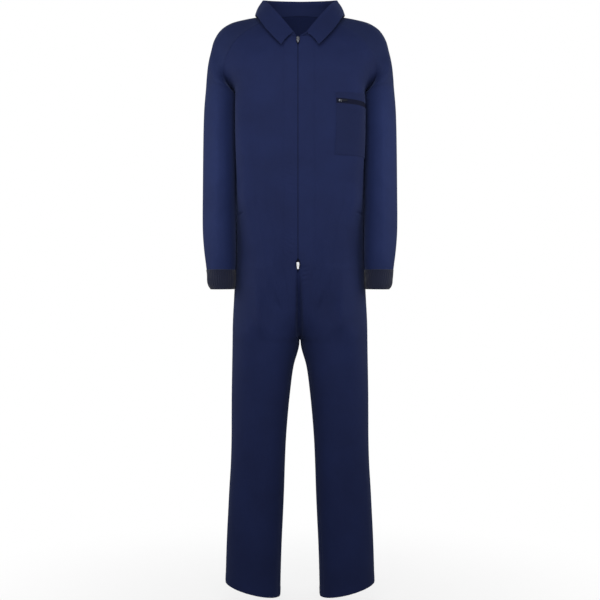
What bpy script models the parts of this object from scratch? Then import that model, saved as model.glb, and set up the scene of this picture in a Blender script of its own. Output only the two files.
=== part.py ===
"""Boiler suit, filled out as it is worn, with nobody in it.

Metres, +Z up. The front faces -Y and the wearer's left is +X. The origin is where the neck base rests on
the wearer's shoulders, so the suit hangs below it. Heights in the tables are measured from the front hem.

Every cloth panel is a wall between an outer and an inner surface. Its rows are smooth arcs between two
seams: a body row runs from the centre front or back to the side seam, and above the underarm to the
raglan seam. Where a leg is a tube of its own, the row starts at the inseam. All tables are for one half
of the suit, with x positive away from the centre, and each half is made from them.
"""

import functools
import math

import bmesh
import bpy
import numpy as np
from mathutils import Matrix, Vector

# Driving dimensions
MOUNT_HEIGHT = 1.590
UNDERARM = 1.370
FORK = 0.684
FRONT_YOKE = 0.195
BACK_YOKE = 0.232
CUFF_TOP = 0.884
CUFF_BOTTOM = 0.831
CLOTH = 0.0014
SEAM = 0.0003
LEFT = 1
RIGHT = -1
SIDE_NAMES = {LEFT: "left", RIGHT: "right"}

# Closure: half the gap between the fronts by row, a seam below the zip and wider at each slider
GAP_ROWS = (0.872, 0.880, 0.886, 0.906, 0.914, 1.526, 1.5484)
HALF_GAPS = (SEAM / 2, 0.0026, 0.0052, 0.0052, 0.0026, 0.0026, 0.0052)
LOWER_SLIDER = 0.8965
UPPER_SLIDER = 1.5580
TAPE_FOOT = 0.880
TAPE_WIDTH = 0.015
TAPE = 0.0008
TAPE_GAP = 0.0007

# Chest pocket: its sides are measured round the body from the closure
POCKET_START = 0.103
POCKET_WIDTH = 0.114
# Its slanted lines: heights at the side near the closure and at the far side
POCKET_FOOT = (1.1890, 1.1850)
POCKET_ZIP_BOTTOM = (1.3276, 1.3188)
POCKET_ZIP_TOP = (1.3405, 1.3317)
POCKET_TOP = (1.3590, 1.3640)
POCKET_ROW = 0.024
PATCH = 0.0012
PATCH_LIFT = 0.0004

# Hip pocket mouth, measured from the side seam
HIP_MOUTH_BOTTOM = 0.883
HIP_MOUTH_TOP = 1.030
HIP_MOUTH_WIDTH = 0.040
HIP_MOUTH_FROM_SEAM = 0.003

# Cuffs
RIBS = 36
RIB_HEIGHT = 0.0009
RIB_WALL = 0.0022
CUFF_HEIGHTS = (CUFF_BOTTOM, CUFF_BOTTOM + 0.005, CUFF_TOP - 0.006, CUFF_TOP)
CUFF_RAISED = (0.3, 1.0, 1.0, 0.4)

# Zip slider and pull
SLIDER = Vector((0.0080, 0.0100, 0.0030))
BRIDGE = Vector((0.0016, 0.0084, 0.0036))
BRIDGE_HOLE = Vector((0.0080, 0.0060, 0.0024))
PULL_LENGTH = 0.0130
CHEST_PULL_LENGTH = 0.0190
CHEST_ZIP_SCALE = 0.8
PULL_WIDTH = 0.0062
PULL_TIP_WIDTH = 0.0050
PULL_THICKNESS = 0.0010
PULL_BAR = 0.0007
SLOT_LENGTH = 0.0044
SLOT_WIDTH = 0.0030

QUARTER_PULL = 1.657
HALF_PULL = 4.0


class Table:
    """A short table with named columns, read between its rows by a smooth curve with no overshoot."""

    def __init__(self, columns, rows):
        self.names = columns.split()
        self.rows = np.array(rows, float)
        self.slopes = np.array([self.slopes_of(self.rows[:, 0], column) for column in self.rows.T]).T

    @staticmethod
    def slopes_of(keys, values):
        step = np.diff(keys)
        rise = np.diff(values) / step
        slopes = np.zeros(len(keys))
        slopes[0] = rise[0]
        slopes[-1] = rise[-1]
        for i in range(1, len(keys) - 1):
            if rise[i - 1] * rise[i] > 0:
                near, far = 2 * step[i] + step[i - 1], step[i] + 2 * step[i - 1]
                slopes[i] = (near + far) / (near / rise[i - 1] + far / rise[i])
        return slopes

    def at(self, key):
        keys = self.rows[:, 0]
        key = min(max(key, keys[0]), keys[-1])
        i = min(int(np.searchsorted(keys, key, side="right")) - 1, len(keys) - 2)
        span = keys[i + 1] - keys[i]
        start_pull, end_pull = self.slopes[i] * span, self.slopes[i + 1] * span
        values = arc(self.rows[i], start_pull, self.rows[i + 1], end_pull, (key - keys[i]) / span)
        return dict(zip(self.names, values))


def arc(start, start_pull, end, end_pull, t):
    """The point at t on the smooth arc that leaves start along start_pull and reaches end along end_pull."""
    square, cube = t * t, t**3
    return (
        (2 * cube - 3 * square + 1) * start
        + (cube - 2 * square + t) * start_pull
        + (3 * square - 2 * cube) * end
        + (cube - square) * end_pull
    )


# The seams that front and back share below the underarm: the centre or inseam, and the side seam. The lifts
# tilt a row, as at the hem.
SEAMS = Table("row centre_x centre_lift side_x side_y side_lift", [
    (0.000, 0.0540, -0.017, 0.2075, 0.000, 0.022),
    (0.100, 0.0515, -0.012, 0.2050, 0.000, 0.014),
    (0.250, 0.0445, -0.004, 0.1985, 0.002, 0.004),
    (0.400, 0.0390, 0.000, 0.1915, 0.004, 0.000),
    (0.550, 0.0262, 0.000, 0.1908, 0.006, 0.000),
    (0.620, 0.0165, 0.000, 0.1898, 0.008, 0.000),
    (0.684, 0.0006, 0.000, 0.1890, 0.012, 0.000),
    (0.730, 0.0000, 0.000, 0.1888, 0.020, 0.000),
    (0.780, 0.0000, 0.000, 0.1870, 0.029, 0.000),
    (0.830, 0.0000, 0.000, 0.1846, 0.035, 0.000),
    (0.884, 0.0000, 0.000, 0.1828, 0.040, 0.000),
    (0.950, 0.0000, 0.000, 0.1814, 0.044, 0.000),
    (1.000, 0.0000, 0.000, 0.1800, 0.040, 0.000),
    (1.080, 0.0000, 0.000, 0.1762, 0.028, 0.000),
    (1.160, 0.0000, 0.000, 0.1735, 0.016, 0.000),
    (1.280, 0.0000, 0.000, 0.1720, 0.012, 0.000),
    (1.370, 0.0000, 0.000, 0.1730, 0.018, 0.000),
])

# The middle of a front or back row: the centre's y and, in the yoke, how far it lies below the row's end;
# how far the row is turned there from straight sideways; the furthest y that it reaches; and how full the
# arc is at its middle and at its side.
FACE_COLUMNS = "row centre_y lift turn reach full side_full"
FRONT = Table(FACE_COLUMNS, [
    (0.000, 0.000, 0.000, 90, -0.086, 1.00, 1.00),
    (0.100, 0.000, 0.000, 90, -0.087, 1.00, 1.00),
    (0.250, 0.002, 0.000, 90, -0.091, 1.00, 1.00),
    (0.400, 0.004, 0.000, 90, -0.097, 1.00, 1.00),
    (0.550, 0.006, 0.000, 90, -0.104, 1.00, 1.00),
    (0.620, 0.008, 0.000, 90, -0.109, 1.00, 1.00),
    (0.684, 0.010, 0.000, 90, -0.113, 1.00, 1.00),
    (0.697, -0.030, 0.000, 84, -0.1140, 1.00, 1.00),
    (0.716, -0.062, 0.000, 70, -0.1155, 1.00, 1.00),
    (0.745, -0.088, 0.000, 50, -0.1180, 1.00, 1.00),
    (0.790, -0.107, 0.000, 30, -0.1210, 1.00, 1.00),
    (0.840, -0.119, 0.000, 14, -0.1245, 1.04, 1.02),
    (0.906, -0.127, 0.000, 0, -0.127, 1.10, 1.04),
    (1.000, -0.128, 0.000, 0, -0.128, 1.45, 1.06),
    (1.080, -0.128, 0.000, 0, -0.128, 1.95, 1.08),
    (1.150, -0.128, 0.000, 0, -0.128, 2.10, 1.10),
    (1.280, -0.130, 0.000, 0, -0.130, 2.36, 1.14),
    (1.370, -0.132, 0.000, 0, -0.132, 2.30, 1.16),
    (1.392, -0.132, -0.007, 0, -0.132, 1.60, 1.10),
    (1.421, -0.1315, -0.017, 0, -0.1315, 1.15, 1.00),
    (1.450, -0.130, -0.027, 0, -0.130, 0.98, 1.00),
    (1.486, -0.127, -0.041, 0, -0.127, 0.90, 1.00),
    (1.532, -0.120, -0.056, 0, -0.120, 0.80, 1.00),
    (1.565, -0.112, -0.056, 0, -0.112, 0.76, 1.00),
])
BACK = Table(FACE_COLUMNS, [
    (0.000, 0.000, 0.000, 90, 0.090, 1.00, 1.00),
    (0.100, 0.000, 0.000, 90, 0.091, 1.00, 1.00),
    (0.250, 0.002, 0.000, 90, 0.097, 1.00, 1.00),
    (0.400, 0.004, 0.000, 90, 0.106, 1.00, 1.00),
    (0.550, 0.006, 0.000, 90, 0.119, 1.00, 1.00),
    (0.620, 0.008, 0.000, 90, 0.127, 1.00, 1.00),
    (0.684, 0.010, 0.000, 90, 0.133, 1.00, 1.00),
    (0.697, 0.050, 0.000, 84, 0.1350, 1.00, 1.00),
    (0.716, 0.084, 0.000, 70, 0.1380, 1.00, 1.00),
    (0.745, 0.110, 0.000, 50, 0.1410, 1.00, 1.00),
    (0.790, 0.131, 0.000, 32, 0.1450, 1.00, 1.00),
    (0.840, 0.143, 0.000, 16, 0.1480, 1.02, 1.02),
    (0.906, 0.147, 0.000, 4, 0.148, 1.03, 1.03),
    (1.000, 0.139, 0.000, 0, 0.139, 1.10, 1.05),
    (1.100, 0.129, 0.000, 0, 0.129, 1.40, 1.08),
    (1.220, 0.129, 0.000, 0, 0.129, 1.90, 1.12),
    (1.370, 0.134, 0.000, 0, 0.134, 2.10, 1.16),
    (1.396, 0.134, 0.004, 0, 0.134, 1.55, 1.10),
    (1.431, 0.133, 0.010, 0, 0.133, 1.12, 1.00),
    (1.508, 0.124, 0.022, 0, 0.124, 0.92, 1.00),
    (1.562, 0.106, 0.018, 0, 0.106, 0.85, 1.00),
    (1.602, 0.083, 0.010, 0, 0.083, 0.77, 1.00),
])

# The raglan seams, and the way the body's rows meet them: a turn seen from above, a rise and a pull.
RAGLAN_COLUMNS = "row x y turn rise pull"
FRONT_RAGLAN = Table(RAGLAN_COLUMNS, [
    (1.370, 0.1730, 0.018, 90, 0, 0.288),
    (1.379, 0.1850, -0.016, 76, 4, 0.270),
    (1.392, 0.1960, -0.040, 64, 8, 0.250),
    (1.405, 0.2050, -0.056, 57, 12, 0.235),
    (1.421, 0.2095, -0.067, 52, 16, 0.220),
    (1.444, 0.2065, -0.075, 48, 20, 0.200),
    (1.466, 0.1990, -0.080, 46, 24, 0.190),
    (1.484, 0.1885, -0.082, 46, 28, 0.180),
    (1.505, 0.1755, -0.080, 48, 31, 0.172),
    (1.524, 0.1560, -0.075, 52, 33, 0.162),
    (1.545, 0.1290, -0.065, 58, 33, 0.147),
    (1.565, 0.1030, -0.052, 66, 30, 0.130),
])
BACK_RAGLAN = Table(RAGLAN_COLUMNS, [
    (1.370, 0.1730, 0.018, 90, 0, 0.222),
    (1.381, 0.1850, 0.042, 76, 4, 0.215),
    (1.396, 0.1960, 0.062, 64, 8, 0.210),
    (1.412, 0.2050, 0.077, 57, 12, 0.205),
    (1.431, 0.2095, 0.088, 52, 16, 0.200),
    (1.458, 0.2065, 0.096, 48, 20, 0.195),
    (1.484, 0.1990, 0.101, 46, 24, 0.188),
    (1.506, 0.1885, 0.103, 46, 27, 0.180),
    (1.531, 0.1755, 0.101, 49, 29, 0.170),
    (1.553, 0.1560, 0.096, 53, 28, 0.155),
    (1.578, 0.1240, 0.081, 58, 18, 0.125),
    (1.602, 0.0900, 0.060, 64, -8, 0.095),
])

# The sleeve head, from the underarm (0) to the neck (1): its outermost line over the shoulder, its fullness.
SLEEVE_HEAD = Table("head outer_x outer_y outer_height seam_pull outer_pull", [
    (0.00, 0.2620, 0.013, 1.392, 0.340, 0.340),
    (0.05, 0.2612, 0.012, 1.402, 0.262, 0.302),
    (0.12, 0.2600, 0.012, 1.417, 0.198, 0.258),
    (0.22, 0.2570, 0.012, 1.440, 0.142, 0.214),
    (0.33, 0.2518, 0.011, 1.466, 0.128, 0.202),
    (0.55, 0.2405, 0.009, 1.518, 0.142, 0.182),
    (0.70, 0.2195, 0.007, 1.552, 0.128, 0.155),
    (0.82, 0.1910, 0.006, 1.570, 0.112, 0.135),
    (0.92, 0.1510, 0.005, 1.581, 0.085, 0.100),
    (1.00, 0.1165, 0.004, 1.588, 0.056, 0.060),
])

# The sleeve tube from the underarm to the cuff, and the cuff below it. Its front and back pulls are alike.
SLEEVE = Table("height inner_x inner_y outer_x outer_y outer_lift pull", [
    (0.831, 0.1806, -0.043, 0.2440, -0.043, 0.000, 0.150),
    (0.838, 0.1797, -0.042, 0.2490, -0.042, 0.000, 0.160),
    (0.857, 0.1788, -0.040, 0.2525, -0.040, 0.000, 0.166),
    (0.884, 0.1782, -0.037, 0.2565, -0.037, 0.000, 0.190),
    (0.892, 0.1775, -0.036, 0.2592, -0.036, 0.000, 0.214),
    (0.935, 0.1765, -0.031, 0.2635, -0.031, 0.000, 0.250),
    (1.010, 0.1767, -0.023, 0.2688, -0.023, 0.000, 0.284),
    (1.130, 0.1762, -0.010, 0.2690, -0.010, 0.000, 0.304),
    (1.250, 0.1752, 0.002, 0.2684, 0.000, 0.003, 0.326),
    (1.330, 0.1748, 0.012, 0.2662, 0.008, 0.010, 0.340),
    (1.370, 0.1746, 0.018, 0.2620, 0.013, 0.022, 0.340),
])

# The collar above the neck seam, by the share of the seam from the centre back (0) to the front end (1).
COLLAR = Table("along fold_x fold_y fold_height leaf_x leaf_y leaf_height", [
    (0.00, 0.0000, 0.0740, 1.6520, 0.0000, 0.1060, 1.6010),
    (0.14, 0.0480, 0.0690, 1.6515, 0.0570, 0.1000, 1.5995),
    (0.28, 0.0850, 0.0470, 1.6470, 0.1010, 0.0740, 1.5970),
    (0.46, 0.1005, 0.0080, 1.6370, 0.1215, 0.0080, 1.5930),
    (0.63, 0.0830, -0.0450, 1.6120, 0.1150, -0.0520, 1.5760),
    (0.80, 0.0545, -0.0850, 1.5720, 0.0940, -0.0980, 1.5350),
    (0.92, 0.0317, -0.1060, 1.5400, 0.0690, -0.1240, 1.5020),
    (1.00, 0.0168, -0.1180, 1.5190, 0.0495, -0.1330, 1.4806),
])
COLLAR_WALL = 0.0018
COLLAR_FOLD = 0.0042
COLLAR_SEAM = 0.0006
LEAF_BULGE = 0.0035
STAND_STEPS = 2
FOLD_STEPS = 4
LEAF_STEPS = 4

# Neck edge points closer than this are one
COLLAR_JOIN = 0.003

# The line on which the fronts meet lies a little to the wearer's right, and comes to the middle at the fork.
CLOSURE = Table("row x", [(0.684, 0.0), (0.800, -0.0025), (0.882, -0.0055), (1.600, -0.0055)])

# Large soft folds: which face and side (0 is both), where along the row, how wide, from and to which row,
# how deep.
FOLD_COLUMNS = ("face", "side", "at", "width", "low", "high", "depth")
FOLDS = [
    ("front", 0, 0.72, 0.10, 0.96, 1.34, -0.0035),
    ("front", 0, 0.60, 0.08, 1.00, 1.30, 0.0020),
    ("front", 0, 0.22, 0.10, 0.66, 0.88, -0.0040),
    ("front", LEFT, 0.42, 0.10, 0.62, 0.90, 0.0022),
    ("front", RIGHT, 0.40, 0.10, 0.60, 0.88, 0.0026),
    ("front", 0, 0.56, 0.10, 0.10, 0.60, -0.0030),
    ("front", 0, 0.80, 0.08, 0.04, 0.50, 0.0024),
    ("back", 0, 0.70, 0.10, 0.94, 1.32, -0.0040),
    ("back", 0, 0.45, 0.12, 0.98, 1.25, 0.0028),
    ("back", 0, 0.20, 0.10, 0.64, 0.86, -0.0045),
    ("back", LEFT, 0.50, 0.10, 0.10, 0.58, -0.0034),
    ("back", RIGHT, 0.46, 0.10, 0.14, 0.62, -0.0034),
    ("back", 0, 0.25, 0.10, 0.45, 0.68, 0.0026),
]

# Near the underarm the sleeve head is creased against the body
CREASE_UP_TO = 0.46
CREASE_POWER = 1.0
CREASE_GAP = 0.0016

# The pull that makes an arc reach a depth is found by halving, on this many points of the arc
REACH_HALVINGS = 22
REACH_SAMPLES = np.linspace(0, 1, 41)

# Step along a row from which the way out of a fold is taken
FOLD_STEP = 0.01

# Steps beside a point from which its normal is taken, in t, in rows and in head levels
NORMAL_STEP = 0.004
ROW_STEP = 0.0015
LEVEL_STEP = 0.006

# Rows and steps of the panels. A head level is a share of the yoke, so that fronts, backs and sleeves meet
# there.
LEG_ROWS = 10
RISE_ROWS = (0.684, 0.687, 0.692, 0.700, 0.712, 0.730, 0.755, 0.790, 0.830)
TRUNK_ROWS = GAP_ROWS[:5] + (0.950, 1.000, 1.055, 1.110, 1.160, 1.199, 1.245, 1.290, 1.3305, 1.3438)
HEAD_LEVELS = (0.0, 0.05, 0.12, 0.215, 0.32, 0.44, 0.56, 0.68, 0.80, 0.915, 1.0)

# A laid piece takes no column of its panel that is closer than this to its own edge, in columns
COLUMN_GAP = 0.1

BODY_STEPS = 10
SLEEVE_ROWS = 10
SLEEVE_STEPS = 16


def bell(x):
    """A soft hump: 1 at 0, falling to nothing at -1 and 1."""
    return math.cos(0.5 * math.pi * x) ** 2 if abs(x) < 1 else 0.0


def place(x, y, height):
    return np.array([x, y, height - MOUNT_HEIGHT])


def unit(vector):
    return vector / np.linalg.norm(vector)


def heading(turn, rise):
    turn, rise = math.radians(turn), math.radians(rise)
    return np.array([math.cos(turn) * math.cos(rise), math.sin(turn) * math.cos(rise), math.sin(rise)])


def fold_depth(face, side, row, t):
    depth = 0.0
    for fold in FOLDS:
        fold = dict(zip(FOLD_COLUMNS, fold))
        if fold["face"] != face or fold["side"] not in (0, side):
            continue
        middle = 0.5 * (fold["low"] + fold["high"])
        reach = 0.5 * (fold["high"] - fold["low"])
        depth += fold["depth"] * bell((t - fold["at"]) / fold["width"]) * bell((row - middle) / reach)
    return depth


def pull_to_reach(start_y, end_y, end_pull_y, reach):
    """The y pull at the start of an arc that makes it reach a given y and no further."""
    forward = math.copysign(1, reach)
    weak, strong = 0.0, 1.0
    for _ in range(REACH_HALVINGS):
        middle = 0.5 * (weak + strong)
        ys = arc(start_y, forward * middle, end_y, end_pull_y, REACH_SAMPLES) * forward
        if ys.max() < abs(reach):
            weak = middle
        else:
            strong = middle
    return forward * weak


@functools.cache
def body_row(face, side, row):
    """Start, start pull, end and end pull of one row of a front or back panel, in its half's own x."""
    forward = -1 if face == "front" else 1
    c = (FRONT if face == "front" else BACK).at(row)
    seams = SEAMS.at(row)
    edge = SEAM / 2
    if face == "front":
        edge = float(np.interp(row, GAP_ROWS, HALF_GAPS)) + side * CLOSURE.at(row)["x"]
    start = place(seams["centre_x"] + edge, c["centre_y"], row + c["lift"] + seams["centre_lift"])
    if row > UNDERARM:
        seam = (FRONT_RAGLAN if face == "front" else BACK_RAGLAN).at(row)
        end = place(seam["x"], seam["y"], row)
        end_pull = seam["pull"] * heading(seam["turn"], seam["rise"]) * np.array([1, -forward, 1])
    else:
        end = place(seams["side_x"], seams["side_y"], row + seams["side_lift"])
        roundness = QUARTER_PULL + (HALF_PULL - QUARTER_PULL) * math.sin(math.radians(c["turn"])) ** 4
        side_pull = c["side_full"] * roundness * abs(c["reach"] - seams["side_y"])
        end_pull = np.array([0.0, -forward * side_pull, 0.0])
    pull_x = c["full"] * QUARTER_PULL * (end[0] - start[0]) * math.cos(math.radians(c["turn"]))
    pull_y = pull_to_reach(start[1], end[1], end_pull[1], c["reach"]) if c["turn"] > 0 else 0.0
    return start, np.array([pull_x, pull_y, 0.0]), end, end_pull


def body_point(face, side, row, t):
    """A point of the outer surface of a front or back, in its half's own x."""
    start, start_pull, end, end_pull = body_row(face, side, row)
    point = arc(start, start_pull, end, end_pull, t)
    depth = fold_depth(face, side, row, t)
    if depth:
        ahead = arc(start, start_pull, end, end_pull, t + FOLD_STEP) - point
        outward = np.array([ahead[1], -ahead[0], 0.0]) * (1 if face == "front" else -1)
        point = point + unit(outward) * depth
    return point


def turned_in_plan(direction, degrees):
    angle = math.radians(degrees)
    x, y, z = direction
    return np.array([x * math.cos(angle) - y * math.sin(angle), x * math.sin(angle) + y * math.cos(angle), z])


def head_half(face, side, level):
    """The raglan seam end of a sleeve head's row, and its pull out of the seam.

    Near the underarm the sleeve is creased against the body, and leaves the seam the other way.
    """
    forward = -1 if face == "front" else 1
    row = UNDERARM + level * (FRONT_YOKE if face == "front" else BACK_YOKE)
    _, _, end, end_pull = body_row(face, side, row)
    crease = max(0.0, 1 - level / CREASE_UP_TO) ** CREASE_POWER
    pull = SLEEVE_HEAD.at(level)["seam_pull"] * turned_in_plan(unit(end_pull), forward * 180 * crease)
    return end + np.array([CREASE_GAP * crease, 0.0, 0.0]), pull


def sleeve_point(side, level, t):
    """A point of a sleeve: level 0 to 1 is the head, below 0 it is metres down from the underarm."""
    back = np.array([0.0, 1.0, 0.0])
    if level > 0:
        c = SLEEVE_HEAD.at(level)
        outer = place(c["outer_x"], c["outer_y"], c["outer_height"])
        if t <= 0.5:
            seam, pull = head_half("front", side, level)
            return arc(seam, pull, outer, c["outer_pull"] * back, 2 * t)
        seam, pull = head_half("back", side, level)
        return arc(outer, c["outer_pull"] * back, seam, -pull, 2 * t - 1)
    c = SLEEVE.at(UNDERARM + level)
    inner = place(c["inner_x"], c["inner_y"], UNDERARM + level)
    outer = place(c["outer_x"], c["outer_y"], UNDERARM + level + c["outer_lift"])
    if t <= 0.5:
        return arc(inner, -c["pull"] * back, outer, c["pull"] * back, 2 * t)
    return arc(outer, c["pull"] * back, inner, -c["pull"] * back, 2 * t - 1)


def normal_of(surface, row, t, row_range, row_step):
    """The unit normal of surface(row, t), along t crossed with row, from points just beside it."""
    low, high = max(row - row_step, row_range[0]), min(row + row_step, row_range[1])
    left, right = max(t - NORMAL_STEP, 0.0), min(t + NORMAL_STEP, 1.0)
    return unit(np.cross(surface(row, right) - surface(row, left), surface(high, t) - surface(low, t)))


def finish(name, colour, roughness, metallic=0.0):
    material = bpy.data.materials.get(name) or bpy.data.materials.new(name)
    material.use_nodes = True
    shader = material.node_tree.nodes["Principled BSDF"]
    shader.inputs["Base Color"].default_value = (*colour, 1)
    shader.inputs["Roughness"].default_value = roughness
    shader.inputs["Metallic"].default_value = metallic
    return material


def add(name, mesh, material):
    """Puts a mesh into the suit's collection as one piece."""
    mesh.materials.clear()
    mesh.materials.append(material)
    piece = bpy.data.objects.new(name, mesh)
    SUIT.objects.link(piece)
    return piece


def wall(name, outer, inner, material, side=LEFT, joined_up_to=-1):
    """One closed wall between two equal grids of points, outer and inner, with its rim.

    Rows up to joined_up_to are closed rings, whose last column is their first one. Every quad is split on the
    same diagonal, so that a piece laid on another one has the same facets.
    """
    rows, columns = len(outer), len(outer[0])
    bm = bmesh.new()
    layers = []
    for grid in (outer, inner):
        layer = []
        for i, row in enumerate(grid):
            open_row = row[:-1] if i <= joined_up_to else row
            points = [bm.verts.new((side * p[0], p[1], p[2])) for p in open_row]
            layer.append(points + [points[0]] if i <= joined_up_to else points)
        layers.append(layer)
    out, into = layers

    def quad(a, b, c, d):
        bm.faces.new((a, b, c))
        bm.faces.new((a, c, d))

    for i in range(rows - 1):
        for j in range(columns - 1):
            quad(out[i][j], out[i][j + 1], out[i + 1][j + 1], out[i + 1][j])
            quad(into[i + 1][j + 1], into[i][j + 1], into[i][j], into[i + 1][j])
    for j in range(columns - 1):
        quad(out[0][j], into[0][j], into[0][j + 1], out[0][j + 1])
        quad(out[-1][j], out[-1][j + 1], into[-1][j + 1], into[-1][j])
    for i in range(max(joined_up_to, 0), rows - 1):
        quad(out[i][0], out[i + 1][0], into[i + 1][0], into[i][0])
        quad(out[i][-1], into[i][-1], into[i + 1][-1], out[i + 1][-1])
    bmesh.ops.recalc_face_normals(bm, faces=bm.faces)
    mesh = bpy.data.meshes.new(name)
    bm.to_mesh(mesh)
    bm.free()
    mesh.shade_smooth()
    return add(name, mesh, material)


def spread(start, end, count):
    return [start + (end - start) * i / count for i in range(count + 1)]


def body_rows(face):
    yoke = FRONT_YOKE if face == "front" else BACK_YOKE
    legs = spread(0.0, FORK, LEG_ROWS)[:-1]
    return legs + list(RISE_ROWS + TRUNK_ROWS) + [UNDERARM + level * yoke for level in HEAD_LEVELS]


class Panel:
    """A front or back: its grid of outer points and normals, in its own half's x."""

    def __init__(self, face, side):
        self.face, self.side = face, side
        self.rows = body_rows(face)
        outwards = 1 if face == "front" else -1
        row_range = (self.rows[0], self.rows[-1])

        def surface(row, t):
            return body_point(face, side, row, t)

        points, normals = [], []
        for row in self.rows:
            _, start_pull, _, end_pull = body_row(face, side, row)
            first = SEAM / 2 / np.linalg.norm(start_pull) if row <= FORK else 0.0
            steps = spread(first, 1 - SEAM / 2 / np.linalg.norm(end_pull), BODY_STEPS)
            points.append([surface(row, t) for t in steps])
            normals.append([outwards * normal_of(surface, row, t, row_range, ROW_STEP) for t in steps])
        self.points, self.normals = np.array(points), np.array(normals)

    def build(self, material):
        name = f"{self.face}_{SIDE_NAMES[self.side]}"
        wall(name, self.points, self.points - CLOTH * self.normals, material, self.side)

    def at(self, row, column):
        """The outer point and the normal at a row and a column number, read on the panel's own facets."""
        i = min(int(np.searchsorted(self.rows, row, side="right")) - 1, len(self.rows) - 2)
        j = min(int(column), BODY_STEPS - 1)
        up = (row - self.rows[i]) / (self.rows[i + 1] - self.rows[i])
        along = column - j
        found = []
        for grid in (self.points, self.normals):
            corner, beside, above, across = grid[i, j], grid[i, j + 1], grid[i + 1, j], grid[i + 1, j + 1]
            if along >= up:
                found.append(corner + (beside - corner) * along + (across - beside) * up)
            else:
                found.append(corner + (above - corner) * up + (across - above) * along)
        return found[0], unit(found[1])

    def column_at(self, row, distance):
        """The column number at a distance along a row from its start, or back from its end where negative."""
        line = np.array([self.at(row, float(j))[0] for j in range(BODY_STEPS + 1)])
        lengths = np.concatenate([[0], np.cumsum(np.linalg.norm(np.diff(line, axis=0), axis=1))])
        from_start = distance if distance >= 0 else lengths[-1] + distance
        return float(np.interp(from_start, lengths, range(len(line))))

    def columns_between(self, start, stop):
        between = [float(j) for j in range(BODY_STEPS + 1) if start + COLUMN_GAP < j < stop - COLUMN_GAP]
        return [start] + between + [stop]

    def rows_between(self, start, stop):
        return [start] + [r for r in self.rows if start + ROW_STEP < r < stop - ROW_STEP] + [stop]

    def lay(self, name, rows, columns, lift, thickness, material):
        """A piece made from this panel's points, moved out by lift. Rows hold one value for each column."""
        outer, inner = [], []
        for row in rows:
            found = [self.at(r, column) for r, column in zip(row, columns)]
            outer.append([point + normal * (lift + thickness) for point, normal in found])
            inner.append([point + normal * lift for point, normal in found])
        wall(name, outer, inner, material, self.side)

    def seat(self, row, column, lift, pull_down):
        """A matrix on this panel: X along a hinge, Y against the pull, Z out of the cloth."""
        point, normal = self.at(row, column)
        up = self.at(row + 2 * ROW_STEP, column)[0] - point
        mirror = np.array([self.side, 1, 1])
        outwards, up = normal * mirror, up * mirror
        if column == 0:
            outwards[0] = up[0] = point[0] = 0.0
            point[0] = CLOSURE.at(row)["x"]
        else:
            point = point * mirror
        outwards = unit(outwards)
        up = unit(up - outwards * np.dot(up, outwards))
        against = up if pull_down else np.cross(up, outwards) * -self.side
        hinge = np.cross(against, outwards)
        matrix = Matrix.Identity(4)
        for k, axis in enumerate((hinge, against, outwards, point + outwards * lift)):
            for i in range(3):
                matrix[i][k] = axis[i]
        return matrix


class Sleeve:
    """A raglan sleeve and its cuff, in their own half's x."""

    def __init__(self, side):
        self.side = side
        self.foot = CUFF_TOP + SEAM - UNDERARM
        self.levels = spread(self.foot, 0, SLEEVE_ROWS) + list(HEAD_LEVELS[1:])
        points, normals = [], []
        for level in self.levels:
            margin = SEAM / 4 / SLEEVE_HEAD.at(level)["seam_pull"] if level > 0 else 0.0
            steps = spread(margin, 1 - margin, SLEEVE_STEPS)
            points.append([sleeve_point(side, level, t) for t in steps])
            normals.append([self.normal(level, t, self.foot) for t in steps])
        self.points, self.normals = np.array(points), np.array(normals)

    def normal(self, level, t, foot):
        """The outward normal. A level is metres below the underarm and a share above it."""
        if level <= 0 and (t == 0 or t == 1):
            return np.array([-1.0, 0.0, 0.0])
        level_range, level_step = ((foot, 0.0), ROW_STEP) if level <= 0 else ((0.001, 1.0), LEVEL_STEP)
        return normal_of(lambda row, at: sleeve_point(self.side, row, at), level, t, level_range, level_step)

    def build(self, material):
        inner = self.points - CLOTH * self.normals
        name = f"sleeve_{SIDE_NAMES[self.side]}"
        wall(name, self.points, inner, material, self.side, joined_up_to=SLEEVE_ROWS)

    def build_cuff(self, material):
        """A knitted band with upright ribs raised on its outer face."""
        outer, inner = [], []
        for height, share in zip(CUFF_HEIGHTS, CUFF_RAISED):
            ribbed, plain = [], []
            for k, t in enumerate(spread(0, 1, 2 * RIBS)):
                level = height - UNDERARM
                normal = unit(self.normal(level, t, CUFF_BOTTOM - UNDERARM) * np.array([1, 1, 0]))
                base = sleeve_point(self.side, level, t)
                ribbed.append(base - normal * (0.0 if k % 2 else share * RIB_HEIGHT))
                plain.append(base - normal * RIB_WALL)
            outer.append(ribbed)
            inner.append(plain)
        name = f"cuff_{SIDE_NAMES[self.side]}"
        wall(name, outer, inner, material, self.side, joined_up_to=len(CUFF_HEIGHTS))


def neck_seam(front, back, sleeve):
    """Points of one half's neck edge, midway in the cloth, and which way the cloth runs there."""
    edge, onward = [], []
    for grid, order in ((back, 1), (sleeve, -1), (front, -1)):
        middle = grid.points - CLOTH / 2 * grid.normals
        top, below = middle[-1][::order], middle[-2][::order]
        along = np.gradient(top, axis=0)
        for point, run, side_way in list(zip(top, top - below, along))[::2]:
            side_way = unit(side_way)
            edge.append(point)
            onward.append(unit(run - side_way * np.dot(run, side_way)))
    keep = [k for k in range(len(edge)) if k == 0 or np.linalg.norm(edge[k] - edge[k - 1]) > COLLAR_JOIN]
    return np.array(edge)[keep], np.array(onward)[keep]


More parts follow.
